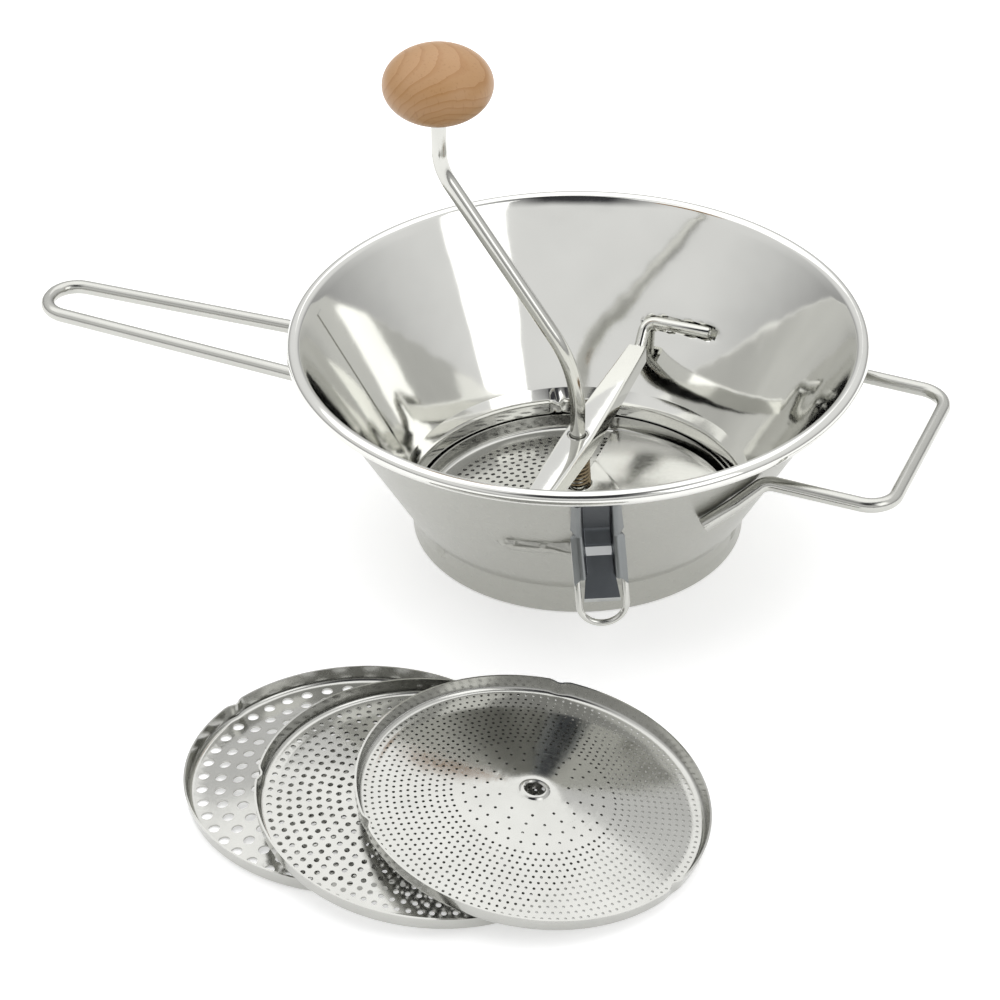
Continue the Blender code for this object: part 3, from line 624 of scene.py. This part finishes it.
crankSize = dict(
    radius=0.0033, bottom=0.0050, offset=0.0615, lower=0.0750, upper=0.1622, top=0.2045,
    lowerBend=0.0620, upperBend=0.0250,
)
discSize = dict(
    radius=0.0700, flange=0.0065, flare=0.0009, margin=0.0630, crown=0.0095,
    boss=0.0080, seat=0.0011, rimBend=0.0024, hubSteps=96, rimSteps=256,
    dentWidth=0.0045, dentDepth=0.0017, webShare=0.44,  # how far a web reaches to the next ring
    hubCircles=(0.0039, 0.0044, 0.0048, 0.0052, 0.0057, 0.0062, 0.0070, 0.0080),
    hubLip=((0.0039, 0.0097), (0.0044, 0.0103), (0.0052, 0.0102), (0.0062, 0.0094), (0.0080, 0.0095)),
)
bladeSize = dict(
    boss=0.0130, outer=0.0660, trailDeg=96.0, steps=100, full=192, rings=72, rise=0.0140, sheet=0.0010,
    gap=0.0006, lip=0.0040, lipBend=0.0012, hubCircles=(0.0036, 0.0065, 0.0100, 0.0130), foldDeg=40.0,
    foldAway=0.0170, foldDepth=0.00035, foldHalf=0.0014,
)


def crownHeight(radius):
    size = discSize
    if radius >= size["margin"]:
        return sheet
    share = (size["margin"] - max(radius, size["boss"])) / (size["margin"] - size["boss"])
    return between(sheet, size["crown"], share)


def bladeHeight(radius, turned):
    size = bladeSize
    boss = discSize["seat"] + discSize["crown"] + sheet + size["gap"]
    if radius <= size["boss"]:
        return boss
    out = (radius - size["boss"]) / (size["outer"] - size["boss"])
    over = discSize["seat"] + size["gap"]
    start = over + crownHeight(size["boss"])
    return over + crownHeight(radius) + (boss - start) * (1.0 - out) ** 2 + size["rise"] * turned * out


def makeBlade():
    # part of a disc round its boss, lifted to a helical sheet with an upright leading lip
    size = bladeSize
    bm = bmesh.new()
    trail = math.radians(size["trailDeg"])
    step = 2.0 * math.pi / size["full"]
    swept = size["steps"] * step
    ahead = Vector((math.cos(trail), math.sin(trail), 0.0))
    radii = [between(size["boss"], size["outer"], i / size["rings"]) for i in range(size["rings"] + 1)]
    turnRound(bm, [ahead * radius for radius in radii], size["steps"], share=-size["steps"] / size["full"])
    turnRound(bm, [ahead * radius for radius in size["hubCircles"]], size["full"])
    bmesh.ops.remove_doubles(bm, verts=bm.verts, dist=mergeDistance)
    fold = []
    for edge in bm.edges:
        if edge.is_boundary:
            ends = [math.remainder(angleOf(vert) - trail + swept, 2.0 * math.pi) for vert in edge.verts]
            if all(abs(end) < step * 0.2 for end in ends):
                fold.append(edge)
    across = math.radians(size["foldDeg"])
    for vert in bm.verts:
        turned = (trail - angleOf(vert)) % (2.0 * math.pi)
        turned = 0.0 if turned > 6.2 else turned / swept  # just short of a whole turn is the start
        vert.co.z = bladeHeight(radiusOf(vert), min(turned, 1.0)) + size["sheet"]
        creased = abs(vert.co.x * math.cos(across) + vert.co.y * math.sin(across) - size["foldAway"])
        vert.co.z += size["foldDepth"] * max(1.0 - creased / size["foldHalf"], 0.0)
    drawOut(bm, fold, Matrix.Translation((0, 0, size["lip"])))
    easeEdges(bm, fold, size["lipBend"], 3)
    faceAlong(bm, upward)
    addPiece("pressing_blade", bm, [bladeFinish], "crank", ["blade"],
             thickness=size["sheet"], even=False)


def makeCrank():
    size = crankSize
    corners = [(0, 0, size["bottom"]), (0, 0, size["lower"]), (-size["offset"], 0, size["upper"]),
               (-size["offset"], 0, size["top"])]
    bm = bendWire(corners, (size["lowerBend"], size["upperBend"]), size["radius"], sides=32,
                  turnDeg=2.0, endBevel=0.0006)
    addPiece("crank_bar", bm, [plated], "crank", ["crank_rod"])


# What is threaded on the rod, from the blade up to the bar: pairs are inner and outer radius.
fittingSize = dict(
    collar=(0.0036, 0.0060), collarHeight=0.0036, lowWasher=(0.0037, 0.0066),
    highWasher=(0.0037, 0.0050), washer=0.0010, bush=(0.0037, 0.0044), bushFoot=0.0008, pin=0.0011,
    pinHalf=0.0060,
)


def makeFittings():
    size = fittingSize
    collar = discSize["seat"] + discSize["crown"] + sheet + bladeSize["gap"] + bladeSize["sheet"] + gap
    washer = collar + size["collarHeight"] + gap
    bush = barSize["top"] - barSize["sheet"] - gap - size["bushFoot"]
    spacer = bush - gap - size["washer"]
    for name, body, slot, node, radii, low, high in (
            ("hub_collar", "crank", "crank_steel", "blade_collar", size["collar"], collar,
             collar + size["collarHeight"]),
            ("thrust_washer", "lift", "bar_steel", "pressure_washer", size["lowWasher"], washer,
             washer + size["washer"]),
            ("spring_washer", "mill", "bar_steel", "upper_washer", size["highWasher"], spacer,
             spacer + size["washer"]),
            ("bar_bush", "mill", "bar_steel", "shaft_bush", size["bush"], bush, barSize["top"])):
        addPiece(name, turnedRing(*radii, low, high, 64), [plated], body, [node])
    height = collar + size["collarHeight"] / 2.0
    bm = bendWire([(0, -size["pinHalf"], height), (0, size["pinHalf"], height)], (), size["pin"], sides=20)
    addPiece("collar_pin", bm, [plated], "crank", ["blade_pin"])
    return washer + size["washer"], spacer


springSize = dict(
    wire=0.0006, base=0.0053, radius=0.0043, curls=11, perCurl=36, travel=0.0060,
)


def makeSpring(under, over):
    # between the washers whose faces are at these two heights
    size = springSize
    foot, top = under + gap, over - gap
    low, high = foot + size["wire"], top - size["wire"]
    bm = bmesh.new()
    upright = Matrix.Rotation(math.pi / 2.0, 4, "X")
    verts, loop = drawCircle(bm, 10, size["wire"], Matrix.Translation((size["base"], 0, low)) @ upright)
    steps = size["curls"] * size["perCurl"]
    spun = bmesh.ops.spin(bm, geom=verts + loop, cent=(0, 0, 0), axis=(0, 0, 1), steps=steps,
                          dvec=(0, 0, (high - low) / steps), angle=2.0 * math.pi * size["curls"])
    for end in (loop, edgesIn(spun["geom_last"])):
        bmesh.ops.edgeloop_fill(bm, edges=end)
    for vert in bm.verts:  # the coil narrows towards the top
        pushIn(vert, (size["base"] - size["radius"]) * (vert.co.z - low) / (high - low))
    closeUp(bm)
    piece = addPiece("coil_spring", bm, [springSteel], "mill", ["spring"])
    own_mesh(piece)


# Knob

# The ferrule and the retainer are given as inner radius, outer radius and height.
knobSize = dict(
    height=0.2015, radius=0.0232, half=0.0158, foot=0.0085, bore=0.0052, boreTop=0.2048,
    ferrule=(0.0037, 0.0049, 0.0050), retainer=(0.0036, 0.0048, 0.0016), arcSteps=48, steps=128,
)


def makeKnob():
    size = knobSize
    place = Matrix.Translation((-crankSize["offset"], 0, 0))
    foot = size["half"] * math.sqrt(1.0 - (size["foot"] / size["radius"]) ** 2)
    bottom = size["height"] - foot
    start = math.degrees(math.asin(-foot / size["half"]))
    outline = [Vector((0, 0, size["boreTop"])), Vector((size["bore"], 0, size["boreTop"])),
               Vector((size["bore"], 0, bottom))]
    for step in range(size["arcSteps"] + 1):
        angle = math.radians(between(start, 90.0, step / size["arcSteps"]))
        outline.append(Vector((size["radius"] * math.cos(angle), 0,
                               size["height"] + size["half"] * math.sin(angle))))
    outline[-1].x = 0.0
    bm = bmesh.new()
    turnRound(bm, outline, size["steps"])
    closeUp(bm)
    addPiece("beech_knob", bm, [beech], "grip", ["knob"], place)
    low = bottom
    for name, body, part in (("knob_bush", "grip", "ferrule"), ("knob_keeper", "crank", "retainer")):
        inner, outer, height = size[part]
        bm = turnedRing(inner, outer, low, low + height, 48)
        addPiece(name, bm, [plated], body, ["knob_" + part], place)
        low += height + gap


# Discs

# Each disc has rings of holes: (radius, number) pairs, worked out from the first and last
# radius, the step between rings and the pitch along them, with any odd rings by the hub.
discs = {
    "seated": dict(
        place=(0.0, 0.0, 0.0011), lean=0.0, turnDeg=0.0, notchDeg=98.0, hole=0.00100, cuts=3,
        rings=(0.0602, 0.0240, 0.0036, 0.0042), sparse=((0.0178, 18),),
    ),
    "coarse": dict(
        place=(-0.0161, -0.2064, 0.0), lean=0.0, turnDeg=0.0, notchDeg=40.0, hole=0.00230, cuts=5,
        rings=(0.0630, 0.0200, 0.0072, 0.0086), sparse=(),
    ),
    "medium": dict(
        place=(0.01953, -0.2183, 0.0), lean=0.1004, turnDeg=342.0, notchDeg=75.0, hole=0.00112, cuts=3,
        rings=(0.0640, 0.0240, 0.00385, 0.0045), sparse=((0.0190, 20),),
    ),
    "fine": dict(
        place=(0.05705, -0.20885, 0.0), lean=0.1555, turnDeg=354.0, notchDeg=102.0, hole=0.00062,
        cuts=1, rings=(0.0652, 0.0320, 0.00275, 0.00305),
        sparse=((0.0276, 34), (0.0231, 27), (0.0185, 16), (0.0140, 10)),
    ),
}


def discProfile(radius):
    # upper face of a disc: cone, raised lip round the hub hole
    lip = discSize["hubLip"]
    for (near, low), (far, high) in zip(lip, lip[1:]):
        if radius <= far:
            return between(low, high, (radius - near) / (far - near))
    return crownHeight(radius)


def ringTable(facts):
    # radius and number of holes of each ring, from the hub outwards
    first, last, step, pitch = facts["rings"]
    table = list(facts["sparse"])[::-1]
    for i in reversed(range(int((first - last) / step + 0.5) + 1)):
        radius = first - step * i
        table.append((radius, round(2.0 * math.pi * radius / pitch)))
    return table


def punchRing(bm, radius, reach, count, hole, cuts, phase):
    # a web of three circles and their spokes, with a hole bevelled open at every second crossing
    web = bmesh.new()
    turnRound(web, [(radius - reach, 0, 0), (radius, 0, 0), (radius + reach, 0, 0)], 2 * count)
    bmesh.ops.remove_doubles(web, verts=web.verts, dist=1e-7)
    crossings = []
    for vert in web.verts:
        column = round(angleOf(vert) / math.pi * count)
        if abs(radiusOf(vert) - radius) < reach * 0.1 and column % 2 == 0:
            crossings.append(vert)
    opened = bmesh.ops.bevel(web, geom=crossings, offset=hole, segments=1, profile=0.5,
                             affect="VERTICES", material=-1)
    holes = [face for face in opened["faces"]
             if len(face.verts) == 4 and face.calc_area() < hole * hole * 2.6]  # a square hole has 2
    edges = [edge for face in holes for edge in face.edges]
    before = set(web.verts)
    bmesh.ops.subdivide_edges(web, edges=edges, cuts=cuts)
    for face in holes:
        middle = face.calc_center_median()
        for vert in face.verts:
            if vert not in before:
                vert.co = middle + (vert.co - middle).normalized() * hole
    bmesh.ops.delete(web, geom=holes, context="FACES_ONLY")
    bmesh.ops.rotate(web, verts=web.verts, cent=(0, 0, 0), matrix=Matrix.Rotation(phase, 3, "Z"))
    mesh = newMesh("ring", web)
    bm.from_mesh(mesh)
    bpy.data.meshes.remove(mesh)


def ringEdges(bm, radius):
    # the open circle of a web at this radius
    return [edge for edge in bm.edges if edge.is_boundary
            and all(abs(radiusOf(vert) - radius) < 2e-5 for vert in edge.verts)]


def drawRim(bm, edge):
    # the flat margin and the upright rim, drawn out from the last circle
    size = discSize
    corners = [(edge, 0, sheet), (size["radius"] - size["flare"] - sheet, 0, sheet),
               (size["radius"] - sheet, 0, size["flange"] + sheet)]
    loop = ringEdges(bm, edge)
    radius, height = edge, sheet
    for point in bentLine(corners, [size["rimBend"]])[1:]:
        grow = point.x / radius
        loop = drawOut(bm, loop, Matrix.Translation((0, 0, point.z - height))
                       @ Matrix.Diagonal((grow, grow, 1.0, 1.0)))
        radius, height = point.x, point.z


def makeDisc(prefix, facts):
    size = discSize
    bm = bmesh.new()
    table = ringTable(facts)
    joins = []
    border = size["boss"]
    turnRound(bm, [(radius, 0, 0) for radius in size["hubCircles"]], size["hubSteps"])
    for i, (radius, count) in enumerate(table):
        low = radius - (table[i - 1][0] if i else size["boss"])
        high = (table[i + 1][0] if i + 1 < len(table) else size["radius"] - 0.0010) - radius
        reach = min(low, high) * size["webShare"]
        punchRing(bm, radius, reach, count, facts["hole"], facts["cuts"], math.pi / count * (i % 2))
        joins.append((border, radius - reach))
        border = radius + reach
    edge = max(size["margin"], border + 0.0003)
    turnRound(bm, [(edge - 0.0001, 0, 0), (edge, 0, 0)], size["rimSteps"])
    joins.append((border, edge - 0.0001))
    for low, high in joins:
        bmesh.ops.bridge_loops(bm, edges=ringEdges(bm, low) + ringEdges(bm, high))
    for vert in bm.verts:
        vert.co.z = discProfile(radiusOf(vert))
    drawRim(bm, edge)
    for vert in bm.verts:  # three dents hold the disc from turning
        radius = radiusOf(vert)
        if radius >= size["margin"] + sheet:
            angle = math.degrees(angleOf(vert)) - facts["notchDeg"]
            away = abs(math.radians((angle + 60.0) % 120.0 - 60.0)) * radius / size["dentWidth"]
            if away < 1.0:
                rise = vert.co.z / (size["flange"] + sheet)
                pushIn(vert, size["dentDepth"] * (0.5 + 0.5 * math.cos(math.pi * away)) * rise)
    faceAlong(bm, upward)
    turn = math.radians(facts["turnDeg"])
    lean = Matrix.Rotation(math.asin(facts["lean"]), 4, Vector((-math.sin(turn), math.cos(turn), 0.0)))
    x, y, z = facts["place"]
    place = Matrix.Translation((x, y, z + size["radius"] * facts["lean"])) @ lean
    addPiece(prefix + "_strainer", bm, [tinned], "mill", [prefix + "_disc"], place,
             thickness=sheet, even=False)


# Hooks

hookSize = dict(
    angleDeg=25.5, slant=0.0740, plumb=0.0345, sheet=0.0009, top=0.0885,
    kink=0.0660, bottom=0.0288, bend=0.0015, brimBottom=0.0435, brimSkew=0.0045,
    floorHalf=0.0062, floorFlat=0.0052, tongueHalf=0.0079, tongueEase=0.0012,
    tongueBend=0.0026, tongueSlope=0.47, brimInner=0.0070, brimCrest=0.0080,
    brimOuter=0.0105, brimTopOuter=0.0092, brimHeight=0.0044, edgeHeight=0.0022,
    brimBends=(0.0014, 0.0005, 0.0011), topShare=0.64, notchRadius=0.0036, notch=0.0018,
    lipTop=0.0579, lipBright=0.0569, lipEdge=0.0547, lipRise=0.0014, row=0.0004,
    wire=0.0014, wireTop=0.0600, wireBottom=0.0184, wireSpread=0.0098, wireDepth=0.0006,
)


def hookPlace(side, along, radius, height):
    # the hooks hang a little askew, as in the photo
    size = hookSize
    angle = math.radians(size["angleDeg"])
    along += size["slant"] * (size["plumb"] - height)
    x = radius * math.sin(angle) + along * math.cos(angle)
    y = radius * math.cos(angle) - along * math.sin(angle)
    return Vector((x, y * side, height))


def strapRadius(height):
    # wall-side face of the strap's floor: along the wall, then upright below the bend
    size = hookSize
    slope = math.tan(wallSlope())
    stand = (gap + size["floorHalf"] ** 2 / (2.0 * wallRadius(size["kink"]))) / math.cos(wallSlope())
    upright = wallRadius(size["kink"]) + stand
    past = height - size["kink"] + size["bend"]
    if past <= 0.0:
        return upright, 0.0
    if past < 2.0 * size["bend"]:
        share = past / (2.0 * size["bend"])
        return upright + slope * share * past / 2.0, slope * share
    return upright + slope * (height - size["kink"]), slope


def brimPlace(along, lift, height):
    # where a point of the channel's profile comes on the real, trimmed brim
    size = hookSize
    kink, crest, notch = size["kink"], size["brimCrest"], size["notchRadius"]
    rise = min(max((height - kink) / (size["top"] - kink), 0.0), 1.0)
    outer = between(size["brimOuter"], size["brimTopOuter"], rise)
    side = abs(along)
    if side > crest:
        share = (side - crest) / (size["brimOuter"] - crest)
        low = max(kink - height, 0.0) / (kink - size["brimBottom"])
        height -= size["brimSkew"] * share * low
        side = between(crest, outer, share)
        away = abs(height - kink)
        if away < notch:
            side = min(side, outer + notch - size["notch"] - math.sqrt(notch ** 2 - away ** 2))
        lift = min(lift, between(size["brimHeight"], size["edgeHeight"], (side - crest) / (outer - crest)))
    lift *= between(1.0, size["topShare"], rise)
    return math.copysign(side, along), lift, height


def makeStrap(prefix, side):
    # a grid laid along the profile and down the rows, each of its points set on the real strap
    size = hookSize
    half = bentLine([(0, 0, 0), (size["floorHalf"], 0, 0), (size["brimInner"], 0, size["brimHeight"]),
                     (size["brimCrest"], 0, size["brimHeight"]), (size["brimOuter"], 0, size["edgeHeight"])],
                    size["brimBends"], 5)
    half.insert(-1, (half[-1] + half[-2]) / 2.0)
    half.insert(1, half[1] / 2.0)
    across = [Vector((-point.x, 0, point.z)) for point in half[:0:-1]] + half
    rows = round((size["top"] - size["bottom"]) / size["row"])
    heights = {size["top"] + (size["bottom"] - size["top"]) * i / rows for i in range(rows + 1)}
    heights |= {size["lipEdge"], size["lipEdge"] - 0.00003, size["brimBottom"]}  # the lip ends in a step
    heights = sorted(heights, reverse=True)
    bm = bmesh.new()
    bmesh.ops.create_grid(bm, x_segments=len(across) - 1, y_segments=len(heights) - 1, size=1.0)
    drop = []
    flat = size["floorFlat"]
    for vert in bm.verts:
        i = round((vert.co.x + 1.0) / 2.0 * (len(across) - 1))
        height = heights[round((1.0 - vert.co.y) / 2.0 * (len(heights) - 1))]
        radius, lean = strapRadius(height)
        along, lift, lower = brimPlace(across[i].x, across[i].z, height)
        below = size["brimBottom"] - height
        if below > 1e-6:
            if abs(along) > flat:
                drop.append(vert)
            spread = below / (size["brimBottom"] - size["bottom"])
            wide = between(size["floorHalf"], size["tongueHalf"], spread)
            along *= (flat + (wide - flat) * min(below / size["tongueEase"], 1.0)) / flat
        if lift < 0.0006 and size["lipEdge"] - 1e-6 < height < size["lipTop"]:
            lift += size["lipRise"] * (size["lipTop"] - height) / (size["lipTop"] - size["lipEdge"])
        radius -= max(size["bottom"] + size["tongueBend"] - height, 0.0) * size["tongueSlope"]
        stretch = math.hypot(1.0, lean)
        vert.co = hookPlace(side, along, radius + lift / stretch, lower - lift * lean / stretch)
    bmesh.ops.delete(bm, geom=drop, context="VERTS")
    angle = math.radians(size["angleDeg"])
    sideways = Vector((math.cos(angle), -math.sin(angle) * side, 0.0))
    for face in bm.faces:  # brim, floor in painted shade, and painted highlight on the lip's band and the tongue's bent end
        middle = face.calc_center_median()
        along = abs(middle.dot(sideways) - size["slant"] * (size["plumb"] - middle.z))
        lip = size["lipEdge"] < middle.z < size["lipBright"] and along < size["floorHalf"] - 0.0006
        if lip or middle.z < size["bottom"] + size["tongueBend"]:
            face.material_index = 2
        elif along <= size["brimInner"] - 0.0002:
            face.material_index = 1
    faceAlong(bm, lambda place: Vector((-math.sin(angle), -math.cos(angle) * side, 0.0)))
    # the strap's slots: brim, floor in painted shade, lip band and tongue end in painted highlight
    addPiece(prefix + "_hook_channel", bm, [strapBrim, strapShade, strapHighlight], "mill",
             [prefix + "_hook_strap"], thickness=size["sheet"])


def makeHookWire(prefix, side):
    size = hookSize
    radius = strapRadius(size["bottom"])[0] + size["wireDepth"]
    places = ((-1, "wireTop"), (-1, "wireBottom"), (1, "wireBottom"), (1, "wireTop"))
    corners = [hookPlace(side, turn * size["wireSpread"], radius, size[end]) for turn, end in places]
    bend = size["wireSpread"] - 2e-6  # the two bends all but meet
    bm = bendWire(corners, (bend, bend), size["wire"])
    addPiece(prefix + "_hook_loop", bm, [plated], "mill", [prefix + "_hook_wire"])


sides = {"front": -1.0, "rear": 1.0}
makeBowl()
makeSeam()
for prefix, facts in handles.items():
    makeHandle(prefix, facts)
print("bowl and handles made")
makeCrossbar()
for prefix, side in sides.items():
    makeProng(prefix, side)
makeCrank()
makeBlade()
makeSpring(*makeFittings())
makeKnob()
print("crank, blade and knob made")
for prefix, facts in discs.items():
    makeDisc(prefix, facts)
print("discs punched")
for prefix, side in sides.items():
    makeStrap(prefix, side)
    makeHookWire(prefix, side)
print("hooks made")


# Table, light and camera

studio = dict(
    floor="F4F4F4", glow=0.44, cardTone=(0.05, 0.05, 0.055, 1.0),
    cardLow=0.50, cardHigh=0.97, cardAgain=0.25,
    sky=((0.0, 0.35), (0.36, 0.88), (0.62, 0.95), (1.0, 1.0)),  # height and grey
)
# place and aim from the bowl's axis, width, depth and power
lamps = {
    "top_softbox": ((-0.3, 0.2, 1.3), (0, 0, 0), 2.2, 1.7, 8.1),
    "side_softbox": ((1.2, -0.5, 0.9), (0, 0, 0.05), 0.7, 0.9, 2.3),
}
view = dict(
    place=(0.49151, -1.35042, 0.98327), look=(-0.30127, 0.77103, -0.56102), rollDeg=-0.6623,
    sensor=36.0, lens=144.0,
)


def makeFloor():
    bm = bmesh.new()
    bmesh.ops.create_grid(bm, x_segments=1, y_segments=1, size=6.0)
    floor = addObject("table", newMesh("table", bm))
    floor.location.z = -0.0002
    material = bpy.data.materials.new("white_paper")
    material.use_nodes = True
    material.node_tree.nodes.clear()
    paper = addNode(material, "BsdfDiffuse", {"Color": linear(studio["floor"])})
    # the paper glows only where the camera or a reflection sees it
    path = addNode(material, "LightPath").outputs
    seen = path["Is Camera Ray"]
    for kind in ("Is Glossy Ray", "Is Transmission Ray"):
        seen = addNode(material, "Math", {"operation": "MAXIMUM"}, {0: seen, 1: path[kind]})
    # no glow under the bowl: painted shade on the paper there, dark where the seated disc's holes look down
    # on it
    where = addNode(material, "TexCoord").outputs["Object"]
    away = addNode(material, "VectorMath", {"operation": "DISTANCE", 1: (axisX, axisY, 0.0)}, {0: where})
    foot = bowlSize["footRadius"]
    glowBesideShade = addNode(material, "MapRange", {"From Min": foot - bowlSize["ledge"], "From Max": foot,
                                          "To Min": 0.0, "To Max": studio["glow"]},
                   {"Value": away.outputs["Value"]})
    glow = addNode(material, "Math", {"operation": "MULTIPLY"}, {0: seen, 1: glowBesideShade})
    lit = addNode(material, "Emission", links={"Strength": glow})
    both = addNode(material, "AddShader", links={0: paper, 1: lit})
    addNode(material, "OutputMaterial", links={"Surface": both})
    floor.data.materials.append(material)


def makeWorld():
    world = bpy.data.worlds.new("studio")
    bpy.context.scene.world = world
    world.use_nodes = True
    world.node_tree.nodes.clear()
    where = addNode(world, "TexCoord").outputs["Generated"]
    height = addNode(world, "SeparateXYZ", links={"Vector": where}).outputs["Z"]
    rise = addNode(world, "ValToRGB", links={"Fac": height})
    fillRamp(rise, [(position, (value, value, value, 1.0)) for position, value in studio["sky"]])
    # the dark card high in front of the table: a dark line along the rim and streaks on the wires
    ahead, aside = (addNode(world, "VectorMath", {"operation": "DOT_PRODUCT", 1: direction},
                            {0: where}).outputs["Value"]
                    for direction in ((0.342, -0.940, 0.0), (0.940, 0.342, 0.0)))
    aside = addNode(world, "Math", {"operation": "ABSOLUTE"}, {0: aside})
    # seen by a mirror's mirror it is fainter
    path = addNode(world, "LightPath").outputs
    card = addNode(world, "MapRange", {"From Min": 1.0, "From Max": 2.0, "To Min": 1.0,
                                       "To Max": studio["cardAgain"]}, {"Value": path["Glossy Depth"]})
    for source, start, end in ((ahead, 0.0, 0.05), (aside, 0.60, 0.20),
                               (height, studio["cardLow"], studio["cardLow"] + 0.06),
                               (height, studio["cardHigh"], studio["cardHigh"] - 0.04)):
        edge = addNode(world, "MapRange", {"From Min": start, "From Max": end}, {"Value": source})
        card = addNode(world, "Math", {"operation": "MULTIPLY"}, {0: card, 1: edge})
    tone = addNode(world, "Mix", {"data_type": "RGBA", 7: studio["cardTone"]}, {0: card, 6: rise})
    soft = addNode(world, "Background", {"Strength": 1.0}, {"Color": tone.outputs[2]})
    plain = addNode(world, "Background", {"Color": (1, 1, 1, 1), "Strength": 1.0})
    mix = addNode(world, "MixShader", links={0: path["Is Camera Ray"], 1: soft, 2: plain})
    addNode(world, "OutputWorld", links={"Surface": mix})


def addLamp(name, place, aim, width, depth, power):
    data = bpy.data.lights.new(name, "AREA")
    data.shape = "RECTANGLE"
    data.size, data.size_y, data.energy = width, depth, power
    lamp = addObject(name, data)
    spot, target = toRow @ Vector(place), toRow @ Vector(aim)
    lamp.location = spot
    lamp.rotation_euler = (target - spot).to_track_quat("-Z", "Y").to_euler()


def addCamera():
    data = bpy.data.cameras.new("photo_view")
    data.sensor_width = view["sensor"]
    data.lens = view["lens"]
    camera = addObject("photo_view", data)
    turned = Vector(view["look"]).to_track_quat("-Z", "Y").to_matrix().to_4x4()
    roll = Matrix.Rotation(math.radians(view["rollDeg"]), 4, "Z")
    camera.matrix_world = toRow @ Matrix.Translation(view["place"]) @ turned @ roll
    bpy.context.scene.camera = camera


makeFloor()
makeWorld()
for name, facts in lamps.items():
    addLamp(name, *facts)
addCamera()
bpy.context.scene.view_settings.view_transform = "Standard"
print("studio set")

bpy.context.view_layer.update()
